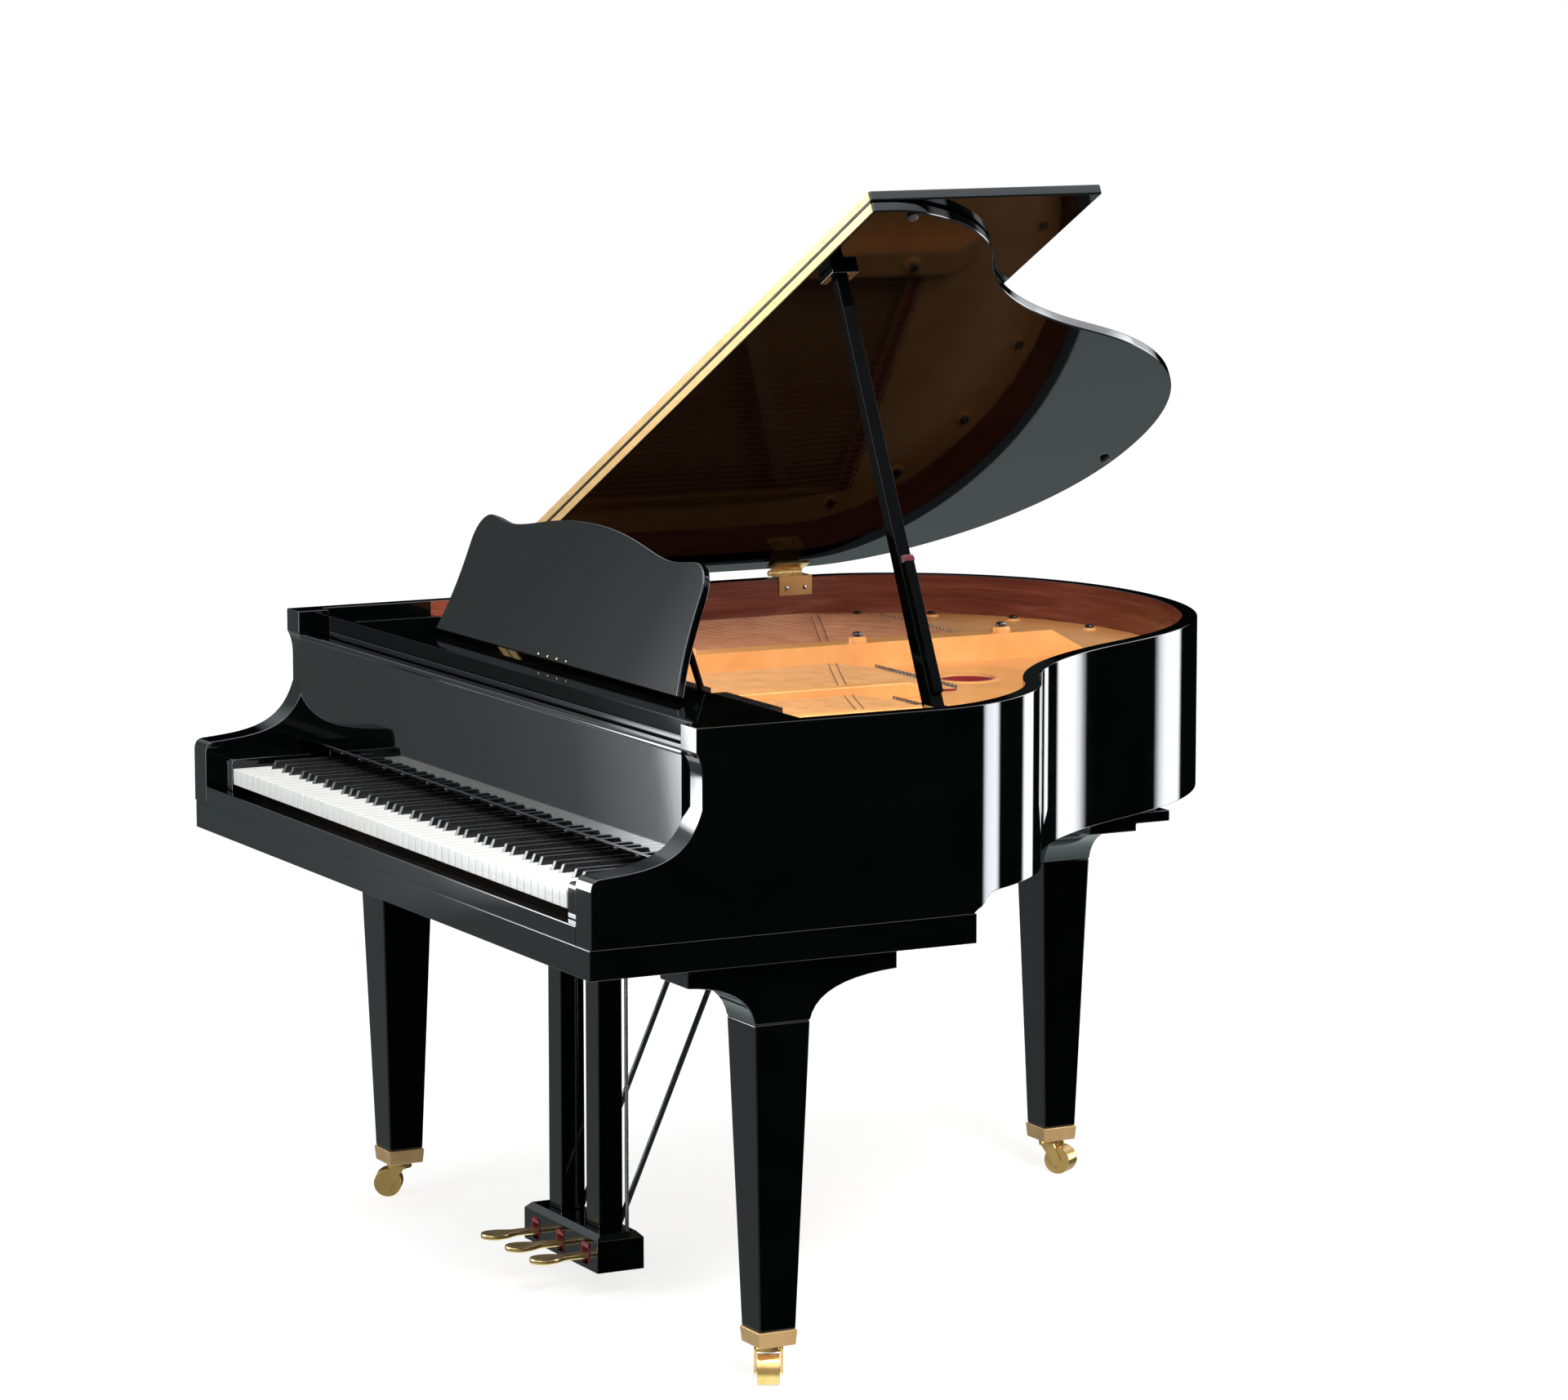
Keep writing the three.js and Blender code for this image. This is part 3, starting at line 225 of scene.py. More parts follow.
def steel(name, tone, roughness):
    s = Shader(name, grey(tone), roughness[0], Metallic=1.0)
    s.colour(s.ramp(s.noise(60, 4), (0.3, (tone * 0.8, tone * 0.8, tone * 0.82)),
                    (0.75, grey(tone * 1.12))))
    s.rough(s.noise(220, 4), *roughness)
    s.bump(s.noise(900, 2, 0.5, (8, 1, 8)), 0.04, 0.0002)
    return s.material


def copper_wound():
    s = Shader("copper_wound_string", (0.5, 0.2, 0.09), 0.3, Metallic=0.5)
    s.colour(s.ramp(s.noise(30, 4), (0.3, (0.4, 0.14, 0.06)), (0.75, (0.58, 0.24, 0.11))))
    s.rough(s.noise(90, 4), 0.24, 0.42)
    s.bump(s.wave(420, direction="Y"), 0.5, 0.0004)
    return s.material


def ivory():
    s = Shader("white_key_top", (0.75, 0.75, 0.735), 0.2, Coat_Weight=0.2, Coat_Roughness=0.08)
    s.colour(s.ramp(s.noise(14, 4, 0.6, (1, 0.3, 1)), (0.3, (0.73, 0.73, 0.718)),
                    (0.75, (0.78, 0.78, 0.77))))
    s.rough(s.noise(90, 5), 0.1, 0.24)
    s.bump(s.noise(160, 3), 0.03, 0.0003)
    return s.material


def ebony():
    s = Shader("black_key_top", (0.008, 0.008, 0.009), 0.26)
    s.colour(s.ramp(s.noise(30, 6, 0.6, (6, 1, 6)), (0.3, grey(0.005)),
                    (0.75, (0.013, 0.012, 0.012))))
    s.rough(s.noise(160, 5, 0.7, (4, 1, 4)), 0.18, 0.36)
    s.bump(s.noise(260, 4, 0.6, (6, 1, 6)), 0.08, 0.0003)
    return s.material


def wood(name, dark, light, axis="Y", roughness=(0.38, 0.6), grain=26):
    """Bare or painted timber with its grain along an axis."""
    s = Shader(name, light, roughness[0])
    stretch = tuple(0.07 if axis == a else 1 for a in "XYZ")
    rings = s.noise(grain, 6, 0.62, stretch, 1.6)
    pores = s.noise(grain * 9, 5, 0.7, stretch)
    between = tuple((d + h) / 2 for d, h in zip(dark, light))
    tone = s.ramp(rings, (0.3, dark), (0.5, between), (0.72, light))
    fleck = s.ramp(pores, (0.34, grey(0.72)), (0.58, grey(1.0)))
    s.colour(s.multiply(tone, fleck, 0.7))
    s.rough(pores, *roughness)
    s.bump(pores, 0.14, 0.0004)
    return s.material


def spruce():
    """Soundboard: narrow quarter-sawn boards under a thin varnish."""
    s = Shader("varnished_spruce", (0.62, 0.36, 0.15), 0.28, Coat_Weight=0.3, Coat_Roughness=0.15)
    turn = (0, 0, math.radians(38))
    lines = s.wave(95, 1.6, turn=turn)
    boards = s.noise(7, 2, 0.5, (1, 0.02, 1), turn=turn)
    tone = s.ramp(boards, (0.35, (0.5, 0.26, 0.1)), (0.7, (0.72, 0.44, 0.2)))
    line = s.ramp(lines, (0.1, (0.72, 0.62, 0.5)), (0.55, (1, 1, 1)))
    s.colour(s.multiply(tone, line, 0.8))
    s.rough(lines, 0.22, 0.4)
    s.bump(lines, 0.06, 0.0003)
    return s.material


def felt(name, dark, light):
    s = Shader(name, light, 0.95, Sheen_Weight=0.12, Sheen_Roughness=0.5)
    fluff = s.noise(900, 6, 0.8)
    s.colour(s.ramp(fluff, (0.3, dark), (0.7, light)))
    s.rough(fluff, 0.86, 1.0)
    s.bump(fluff, 0.6, 0.0008)
    return s.material


def rubber():
    s = Shader("black_rubber", (0.015, 0.015, 0.015), 0.6)
    s.colour(s.ramp(s.noise(80, 4), (0.3, grey(0.01)), (0.7, grey(0.022))))
    s.rough(s.noise(200, 4), 0.5, 0.75)
    s.bump(s.noise(700, 3), 0.2, 0.0003)
    return s.material


LACQUER = lacquer("black_lacquer", 1.52)
SHADE = lacquer("lid_underside_lacquer", 1.11)
SATIN = satin_black()
MAHOGANY = mahogany()
GILT = gilt()
BRASS = brass("polished_brass", (0.78, 0.54, 0.24), (0.14, 0.3), 0.85)
EDGE = brass("lid_edge_brass", (0.62, 0.4, 0.15), (0.24, 0.42), 0.35)
FERRULE = brass("satin_brass", (0.66, 0.42, 0.19), (0.24, 0.4), 0.4)
CASTER = brass("bright_brass", (0.92, 0.6, 0.22), (0.1, 0.24), 0.8)
STEEL = steel("bright_steel", 0.62, (0.16, 0.34))
# The treble strings are a light warm gold rather than steel grey: painted light that brightens the
# shaded string bays, toned to the plate's gold.
WIRE = brass("string_wire_painted_light", (0.82, 0.42, 0.17), (0.3, 0.5), 0.4)
IRON = steel("blued_steel", 0.16, (0.2, 0.4))
COPPER = copper_wound()
IVORY = ivory()
EBONY = ebony()
MAPLE = wood("bare_maple", (0.42, 0.25, 0.12), (0.62, 0.42, 0.23))
BEECH = wood("rim_maple", (0.36, 0.2, 0.09), (0.56, 0.36, 0.18), "X")
SPRUCE = spruce()
RED_FELT = felt("red_felt", (0.16, 0.01, 0.014), (0.3, 0.022, 0.03))
DARK_FELT = felt("dark_red_felt", (0.05, 0.003, 0.005), (0.1, 0.008, 0.011))
WHITE_FELT = felt("white_felt", (0.62, 0.6, 0.54), (0.82, 0.8, 0.74))
RUBBER = rubber()


# ---------------------------------------------------------------- mesh building

# Where an outline's two coordinates and the height across it go in X, Y and Z.
ALONG = {
    "x": lambda a, b, c: (c, a, b),
    "y": lambda a, b, c: (a, c, b),
    "z": lambda a, b, c: (a, b, c),
}
WELD = 2e-6            # metres
FLAT_DEGREES = 0.6     # CAD faces that meet at less than this become one
SHARP_DEGREES = 38     # bevelled edges steeper than this stay crisp


def circle(radius, sides):
    """Points round a circle, from the X axis."""
    angles = [2 * math.pi * step / sides for step in range(sides)]
    return [(radius * math.cos(angle), radius * math.sin(angle)) for angle in angles]


def band(lower, upper, sides):
    """Faces between two rings of points, each ring given by the number of its first point."""
    return [(lower + k, lower + (k + 1) % sides, upper + (k + 1) % sides, upper + k)
            for k in range(sides)]


class Build:
    """Collects solids, in millimetres, for one mesh."""

    def __init__(self, *materials):
        self.materials = materials
        self.verts = []
        self.faces = []
        self.which = []

    def add(self, verts, faces, material=None):
        start = len(self.verts)
        index = self.materials.index(material) if material else 0
        self.verts.extend(verts)
        self.faces.extend([start + v for v in face] for face in faces)
        self.which.extend([index] * len(faces))

    def prism(self, outline, axis, low, high, material=None, turn=None):
        """An outline drawn across an axis, from low to high along it."""
        count = len(outline)
        verts = [ALONG[axis](a, b, c) for c in (low, high) for a, b in outline]
        if turn is not None:
            verts = [tuple(turn @ Vector(v)) for v in verts]
        ends = [tuple(range(count))[::-1], tuple(range(count, 2 * count))]
        self.add(verts, ends + band(0, count, count), material)

    def box(self, x0, x1, y0, y1, z0, z1, material=None, turn=None):
        self.prism([(x0, y0), (x1, y0), (x1, y1), (x0, y1)], "z", z0, z1, material, turn)

    def rings(self, verts, sides, material):
        """A solid whose points lie in rings, closed at its two ends."""
        last = len(verts) - sides
        faces = [face for k in range(0, last, sides) for face in band(k, k + sides, sides)]
        faces.append(tuple(range(sides))[::-1])
        faces.append(tuple(range(last, last + sides)))
        self.add(verts, faces, material)

    def tube(self, points, radius, sides=6, material=None):
        """A round bar through points; radius is one number or one for each point."""
        points = [Vector(p) for p in points]
        radii = radius if isinstance(radius, list) else [radius] * len(points)
        verts = []
        across = None
        for k, at in enumerate(points):
            along = (points[min(k + 1, len(points) - 1)] - points[max(k - 1, 0)]).normalized()
            if across is None:
                across = along.orthogonal().normalized()
            else:
                across = (across - along * across.dot(along)).normalized()
            up = along.cross(across)
            verts += [tuple(at + (across * x + up * y) * radii[k]) for x, y in circle(1, sides)]
        self.rings(verts, sides, material)

    def lathe(self, profile, at, axis=(0, 0, 1), sides=20, material=None):
        """A turned shape: profile is (radius, height) along the axis from at."""
        spin = Vector((0, 0, 1)).rotation_difference(Vector(axis)).to_matrix()
        verts = [tuple(Vector(at) + spin @ Vector((x, y, height)))
                 for radius, height in profile for x, y in circle(radius, sides)]
        self.rings(verts, sides, material)

    def hoop(self, profile, at, material, sides=48):
        """A level ring; profile is its section, as (radius, height) from at, and closes itself."""
        verts = [(at[0] + x, at[1] + y, at[2] + height)
                 for radius, height in profile for x, y in circle(radius, sides)]
        starts = [k * sides for k in range(len(profile))]
        faces = [face for lower, upper in zip(starts, starts[1:] + starts[:1])
                 for face in band(lower, upper, sides)]
        self.add(verts, faces, material)

    def screw(self, at, axis, radius):
        """A domed screw head standing on a surface."""
        dome = [(1, 0), (1, 0.16), (0.86, 0.36), (0.5, 0.5), (0.06, 0.54)]
        self.lathe([(radius * across, radius * up) for across, up in dome], at, axis, 16)

    def object(self, name, body, bevel=0.0, segments=2, replaces=None):
        mesh = bpy.data.meshes.new(name)
        mesh.from_pydata([metres(v) for v in self.verts], [], self.faces)
        for polygon, index in zip(mesh.polygons, self.which):
            polygon.material_index = index
        for material in self.materials:
            mesh.materials.append(material)
        settle(name, mesh, body, bevel, segments, replaces)


def apply_modifiers(piece, name):
    """Gives a piece the mesh that its modifiers make."""
    bpy.context.view_layer.update()
    graph = bpy.context.evaluated_depsgraph_get()
    made = bpy.data.meshes.new_from_object(piece.evaluated_get(graph))
    piece.modifiers.clear()
    piece.data = made
    made.name = name


def settle(name, mesh, body, bevel, segments, replaces=None, angle=30, dissolve=False):
    """Cleans, bevels and shades a mesh, and puts it on its body."""
    work = bmesh.new()
    work.from_mesh(mesh)
    bmesh.ops.remove_doubles(work, verts=work.verts, dist=WELD)
    if dissolve:
        bmesh.ops.dissolve_limit(work, angle_limit=math.radians(FLAT_DEGREES), verts=work.verts,
                                 edges=work.edges)
    bmesh.ops.recalc_face_normals(work, faces=work.faces)
    work.to_mesh(mesh)
    work.free()
    piece = bpy.data.objects.new(name, mesh)
    bpy.context.scene.collection.objects.link(piece)
    if bevel:
        rounding = piece.modifiers.new("round", "BEVEL")
        rounding.width = bevel / 1000
        rounding.segments = segments
        rounding.limit_method = "ANGLE"
        rounding.angle_limit = math.radians(angle)
        rounding.miter_outer = "MITER_ARC"
        rounding.use_clamp_overlap = True
        apply_modifiers(piece, name)
    piece.data.shade_smooth()
    piece.data.set_sharp_from_angle(angle=math.radians(SHARP_DEGREES if bevel else angle))
    if bevel:
        piece.modifiers.new("weigh", "WEIGHTED_NORMAL").keep_sharp = True
        apply_modifiers(piece, name)
    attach(piece, body)
    if replaces:
        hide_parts(replaces)


def rounded(node, material, bevel=1.0, segments=2, angle=30, dissolve=True):
    """A copy of a CAD node with welded, rounded edges and a finish."""
    source = nodes[node].data
    name = node + "_finish"
    mesh = bpy.data.meshes.new(name)
    mesh.from_pydata([v.co.copy() for v in source.vertices], [],
                     [tuple(p.vertices) for p in source.polygons])
    mesh.materials.append(material)
    settle(name, mesh, body_of[node], bevel, segments, node, angle, dissolve)


def on_curve(points, t):
    """The point at t, from 0 to 1, on the Bezier curve of a few points."""
    level = [Vector(p) for p in points]
    while len(level) > 1:
        level = [a.lerp(b, t) for a, b in zip(level, level[1:])]
    return level[0]


def bezier(points, steps):
    """Points along a Bezier curve, without its first."""
    return [tuple(on_curve(points, step / steps)) for step in range(1, steps + 1)]


# ---------------------------------------------------------------- case outline

HALF = 730.0           # half the case's width
TAIL = 734.0           # the case's furthest point in Y
RIM_TOP = 965.5
WALL = 25.0            # the rim's thickness
RIM_LOW = 693.0        # the rim's lower edge, behind the keybed
BED_TOP = 666.0        # the rim's lower edge beside the keyboard, where the keys' frame stands
WAIST_TURN, FLANK_TURN = math.radians(24), math.radians(27.5)
waist, waist_way = Vector((552, 63)), Vector((-math.cos(WAIST_TURN), math.sin(WAIST_TURN)))
flank, flank_way = Vector((265, 363)), Vector((-math.sin(FLANK_TURN), math.cos(FLANK_TURN)))
treble_end, bass_end, tail = Vector((HALF, -196)), Vector((-HALF, 350)), Vector((-265, TAIL))
CURVES = [
    (treble_end, Vector((HALF, -105)), waist - 95 * waist_way, waist),
    (waist, waist + 128 * waist_way, flank - 161 * flank_way, flank),
    (flank, flank + 109 * flank_way, Vector((101, TAIL)), tail),
    (tail, Vector((-565, TAIL)), Vector((-HALF, 504)), bass_end),
]


def outline(offset, front, steps=44, treble=(), bass=()):
    """The case's plan moved outwards, from front right round the tail to front left."""
    side = HALF + offset
    points = [(side, front), *((side, y) for y in treble), (side, treble_end.y)]
    for a, b, c, d in CURVES:
        for step in range(1, steps + 1):
            t = step / steps
            u = 1 - t
            at = u ** 3 * a + 3 * u * u * t * b + 3 * u * t * t * c + t ** 3 * d
            along = (3 * u * u * (b - a) + 6 * u * t * (c - b) + 3 * t * t * (d - c)).normalized()
            points.append((at.x + along.y * offset, at.y - along.x * offset))
    points[-1] = (-side, bass_end.y)
    return points + [(-side, y) for y in bass] + [(-side, front)]


# ---------------------------------------------------------------- rim

STEP_Y = -138.0        # behind this the rim's lower edge rises from the keybed to RIM_LOW
UNDERCUT = [(STEP_Y, 670.0),
            *bezier([(STEP_Y, 670), (-115, 674), (-123, RIM_LOW), (-92, RIM_LOW)], 12)]
LINING_Y = -350.0      # behind this the rim's inside is veneered
ARM_Y = -592.0         # the front of the arms' level top
ARM_BACK, ARM_INNER = -540.0, 680.0


def underside(y):
    """Height of the rim's lower edge at y."""
    if y <= STEP_Y - 0.5:
        return BED_TOP
    for (y0, z0), (y1, z1) in zip(UNDERCUT, UNDERCUT[1:]):
        if y <= y1:
            return z0 + (z1 - z0) * max(0.0, y - y0) / (y1 - y0)
    return RIM_LOW


def arm_scroll():
    """The arm's upper outline in Y and Z, from its nose up to the rim's top."""
    points = [(FRONT, 748.0), *bezier([(FRONT, 748), (FRONT, 765), (-740, 766)], 10)]
    points += bezier([(-740, 766), (-655, 772), (-605, 780), (-583, 850)], 36)
    points.append((-583.0, 890.5))
    points += bezier([(-583, 890.5), (-583, 915.5), (ARM_Y, 929.5)], 10)
    return points + [(ARM_Y, RIM_TOP)]


def rim_walls(made):
    """The rim from the arms' back round the tail, with veneer on its inside."""
    bass = sorted([*(y for y, _ in UNDERCUT), STEP_Y - 0.6, LINING_Y], reverse=True)
    outer = outline(0, ARM_BACK, treble=[LINING_Y], bass=bass)
    inner = outline(-WALL, ARM_BACK, treble=[LINING_Y], bass=bass)
    verts, quads = [], []
    for (xo, yo), (xi, yi) in zip(outer, inner):
        verts += [(xo, yo, underside(yo)), (xo, yo, RIM_TOP), (xi, yi, RIM_TOP),
                  (xi, yi, underside(yi))]
    for k in range(len(outer) - 1):
        a, b = 4 * k, 4 * k + 4
        quads += [(a, b, b + 1, a + 1), (a + 1, b + 1, b + 2, a + 2), (a + 3, a, b, b + 3)]
    made.add(verts, quads)
    lined = [k for k in range(len(outer) - 1)
             if min(outer[k][1], outer[k + 1][1]) > LINING_Y - 1]
    plain = [k for k in range(len(outer) - 1) if k not in lined]
    for chosen, material in ((lined, MAHOGANY), (plain, LACQUER)):
        made.add(verts, [(4 * k + 2, 4 * k + 6, 4 * k + 7, 4 * k + 3) for k in chosen], material)


def rim_arm(made, sign):
    """One arm, in front of the walls: its two sides, its edge, and its level and back faces."""
    strip = [(FRONT, BED_TOP), *arm_scroll()]
    side = [*strip, (ARM_BACK, RIM_TOP), (ARM_BACK, BED_TOP)]
    for x in (HALF, ARM_INNER):
        made.add([(sign * x, y, z) for y, z in side], [tuple(range(len(side)))])
    count = len(strip)
    made.add([(sign * x, y, z) for x in (ARM_INNER, HALF) for y, z in strip],
             [(k, k + 1, count + k + 1, count + k) for k in range(count - 1)])
    thin = HALF - WALL
    for z, front in ((RIM_TOP, ARM_Y), (BED_TOP, FRONT)):
        corners = [(ARM_INNER, front), (HALF, front), (HALF, ARM_BACK), (thin, ARM_BACK),
                   (ARM_INNER, ARM_BACK)]
        made.add([(sign * x, y, z) for x, y in corners], [(0, 1, 2, 3, 4)])
    back = [(ARM_INNER, BED_TOP), (thin, BED_TOP), (thin, RIM_TOP), (ARM_INNER, RIM_TOP)]
    made.add([(sign * x, ARM_BACK, z) for x, z in back], [(0, 1, 2, 3)])


def rim():
    made = Build(LACQUER, MAHOGANY)
    rim_walls(made)
    for sign in (1, -1):
        rim_arm(made, sign)
    made.object("rim_case", "case", 1.6, 3, replaces="rim")


rim()

# ---------------------------------------------------------------- plain case parts

PLAIN_PARTS = (
    ("keybed", LACQUER, 1.8), ("keyslip", LACQUER, 1.5), ("key_block_left", LACQUER, 1.5),
    ("key_block_right", LACQUER, 1.5), ("fallboard", LACQUER, 1.2), ("stretcher", LACQUER, 1.2),
    ("music_shelf", SHADE, 1.5), ("desk_strut", LACQUER, 1.0), ("inner_rim", BEECH, 1.5),
    ("back_beams", MAPLE, 4.0), ("pin_block", BEECH, 1.0), ("bridge", MAPLE, 1.5),
    ("lid_prop", SHADE, 1.6), ("short_prop", SHADE, 1.4), ("prop_bracket", BRASS, 0.7),
    ("prop_cup", LACQUER, 1.4), ("lyre_frame", LACQUER, 2.0), ("pedal_box", LACQUER, 1.4),
    ("lyre_brace_left", SATIN, 0), ("lyre_brace_right", SATIN, 0))
for node, material, bevel in PLAIN_PARTS:
    rounded(node, material, bevel, 3)
rounded("iron_plate", GILT, 1.6, 3, dissolve=False)
for side in ("left", "right", "rear"):
    rounded(f"leg_{side}", LACQUER, 2.6, 3)
    rounded(f"leg_block_{side}", LACQUER, 2.0, 3)
    rounded(f"ferrule_{side}", FERRULE, 1.2, 3)
    rounded(f"caster_fork_{side}", CASTER, 1.0, 2, 35)
    rounded(f"caster_wheel_{side}", CASTER, 2.2, 4, 35)
for side in ("left", "middle", "right"):
    rounded(f"pedal_{side}", BRASS, 2.6, 4)
    rounded(f"pedal_rod_{side}", STEEL, 0)
for place in ("front", "rear"):
    for leaf in ("rim", "lid"):
        rounded(f"lid_hinge_{place}_{leaf}_leaf", BRASS, 0.7, 2)
nodes["soundboard"].data.materials.clear()
nodes["soundboard"].data.materials.append(SPRUCE)

# ---------------------------------------------------------------- keys

WHITE_KEYS, NOTES = 52, 88
KEYBOARD = 1225
KEYS_END = KEYBOARD / 2
PITCH = KEYBOARD / WHITE_KEYS
# How far a black key stands to the right of the joint under it, by its white key's place in
# the octave from A.
SHARP_SIDE = {0: 2.2, 2: -2.2, 3: 2.2, 5: -2.6, 6: 0.0}
MIDDLE_C = 23
KEY_GAP = 0.5          # half the gap between two white keys
SHARP_ROOM = 6.25      # from a black key's middle to the white keys beside it
KEY_LOW = 714.3        # the underside of the keys
FRAME_LOW = 666.3      # the underside of the keys' frame
SHARP_LOW, SHARP_TOP, SHARP_SHOULDER = 714.3, 743.0, 724
SHARP_HALF, SHARP_CROWN = 5.25, 4.3
SHARP_FRONT, CROWN_FRONT = -682, -674


def joint_x(n):
    """The joint between white keys n and n + 1."""
    return (n + 1) * PITCH - KEYS_END


def sharp_x(n):
    """The middle of the black key after white key n, or None where there is none."""
    offset = SHARP_SIDE.get(n % 7) if 0 <= n < WHITE_KEYS - 1 else None
    return None if offset is None else joint_x(n) + offset


def natural(made, n):
    """One white key: a capped front part and a bare wooden tail."""
    left, right = joint_x(n - 1) + KEY_GAP, joint_x(n) - KEY_GAP
    before, after = sharp_x(n - 1), sharp_x(n)
    neck_left = left if before is None else max(left, before + SHARP_ROOM)
    neck_right = right if after is None else min(right, after - SHARP_ROOM)
    front, notch, cap_back, back = -736.0, -683.0, -560.0, -500.0
    lip_low, lip_high, tail_top, cap_top = 706, 716, 729, 731
    points = [(neck_left, cap_back)]
    if neck_left > left:
        points += [(neck_left, notch), (left, notch)]
    points += [(left, front), (right, front)]
    if neck_right < right:
        points += [(right, notch), (neck_right, notch)]
    points.append((neck_right, cap_back))
    made.prism(points, "z", KEY_LOW, cap_top, IVORY)
    made.box(left + 0.2, right - 0.2, front + 0.2, front + 12, lip_low, lip_high, IVORY)
    made.box(neck_left + 0.3, neck_right - 0.3, cap_back, back, KEY_LOW, tail_top, MAPLE)


def sharp(made, n, back=-528.0):
    """One black key: a straight foot, and above it sides and a front that lean in."""
    x = sharp_x(n)
    verts = []
    for half, front, z in ((SHARP_HALF, SHARP_FRONT, SHARP_LOW),
                           (SHARP_HALF, SHARP_FRONT, SHARP_SHOULDER),
                           (SHARP_CROWN, CROWN_FRONT, SHARP_TOP)):
        left, right = x - half, x + half
        verts += [(left, front, z), (right, front, z), (right, back, z), (left, back, z)]
    made.add(verts, [(3, 2, 1, 0), (8, 9, 10, 11), *band(0, 4, 4), *band(4, 8, 4)], EBONY)


def keyboard():
    naturals = Build(IVORY, MAPLE)
    for n in range(WHITE_KEYS):
        if n not in (MIDDLE_C, MIDDLE_C + 1):
            natural(naturals, n)
    naturals.object("white_key_set", "keyboard", 0.7, 2, replaces="white_keys")
    bed = Build(SATIN, MAPLE, RED_FELT)
    # The two rails under the keys' fronts are black satin: painted shade, drawing the dark gap
    # under the keys as black rails.
    for y0, y1, z0, z1, material in (
            (-525, -500, FRAME_LOW, 713.8, MAPLE), (-722, -668, FRAME_LOW, 684, SATIN),
            (-668, -618, FRAME_LOW, 672, SATIN), (-618, -588, FRAME_LOW, 700, MAPLE),
            (-612, -594, 700, 702, RED_FELT)):
        bed.box(-KEYS_END, KEYS_END, y0, y1, z0, z1, material)
    bed.object("key_frame", "keyboard", 0.8)
    sharps = Build(EBONY, SATIN)
    for n in range(WHITE_KEYS):
        if sharp_x(n) is not None and n != MIDDLE_C:
            sharp(sharps, n)
    sharps.box(-588, 588, -550, -528, 744.2, 752, SATIN)
    sharps.object("black_key_set", "keyboard", 1.1, 3, replaces="black_keys")
    for name, n, body in (("c", MIDDLE_C, "key_c"), ("d", MIDDLE_C + 1, "key_d")):
        single = Build(IVORY, MAPLE)
        natural(single, n)
        single.object(f"middle_{name}_key", body, 0.7, 2, replaces=f"key_middle_{name}")
    single = Build(EBONY)
    sharp(single, MIDDLE_C, -500.0)
    single.object("middle_c_sharp_key", "key_c_sharp", 1.1, 3, replaces="key_middle_c_sharp")


keyboard()


def action():
    """The hammers on their stand, with a shank, core, felt and red underfelt for each note."""
    made = Build(MAPLE, WHITE_FELT, RED_FELT)
    for y0, y1, z0, z1, material in (
            (-515, -316, 758, 768, MAPLE), (-499.7, -460, FRAME_LOW, 758, MAPLE),
            (-500, -470, 768, 800, MAPLE), (-402, -380, 768, 790, MAPLE),
            (-404, -378, 790, 793, RED_FELT)):
        made.box(-KEYS_END, KEYS_END, y0, y1, z0, z1, material)
    middle = -325
    core = [(-329, 792), (-321, 792), (-322, 850), (middle, 856), (-328, 850)]
    underfelt = [(-331, 815), (-319, 815), (-318, 833), (-332, 833)]
    for n in range(NOTES):
        x = (n + 0.5) * (KEYBOARD / NOTES) - KEYS_END
        half = 7 * (1.0 - 0.22 * n / (NOTES - 1))
        egg = [(middle + half * across, z) for across, z in (
            (-0.75, 832), (-1, 845), (-0.8, 856), (-0.3, 864), (0, 866), (0.3, 864), (0.8, 856),
            (1, 845), (0.75, 832))]
        made.tube([(x, -478, 797), (x, -334, 801)], 2.6, 8)
        made.prism(core, "x", x - 4.5, x + 4.5)
        made.prism(egg, "x", x - 5, x + 5, WHITE_FELT)
        made.prism(underfelt, "x", x - 4.8, x + 4.8, RED_FELT)
    made.object("hammer_row", "keyboard", 0.5, 2, replaces="hammer_action")


action()

# ---------------------------------------------------------------- strings

# The bays between the plate's bars, from bass to treble. Each has its ends in X, the place of
# its hitch pins in Y, the strings in a group, which share an agraffe, and its number of groups.
# The bass strings stand singly, so there are more groups than notes.
BAYS = [(-636, -150, 420, 1, 40), (-86, 190, 110, 3, 24), (226, 420, -30, 3, 17),
        (456, 632, -120, 3, 15)]
BAY_EDGE = 6
BRIDGE = [(600, -215), (250, -120), (-80, 60), (-600, 300)]
PLATE_TOP = 900
AGRAFFE_Y, PIN_Y = -328, -452
STRING_PITCH = 3.1     # between the strings of one group
THIN_WIRE = 0.55


def group_places(x0, x1, groups):
    """The middle of each group of strings in a bay, and the pitch from group to group."""
    pitch = (x1 - x0 - 2 * BAY_EDGE) / groups
    return [x0 + BAY_EDGE + (group + 0.5) * pitch for group in range(groups)], pitch


def bridge_line(x):
    """Where the curved bridge passes under a string, found by halving."""
    low, high = 0.0, 1.0
    for _ in range(24):
        t = (low + high) / 2
        if on_curve(BRIDGE, t).x > x:
            low = t
        else:
            high = t
    return on_curve(BRIDGE, t).y


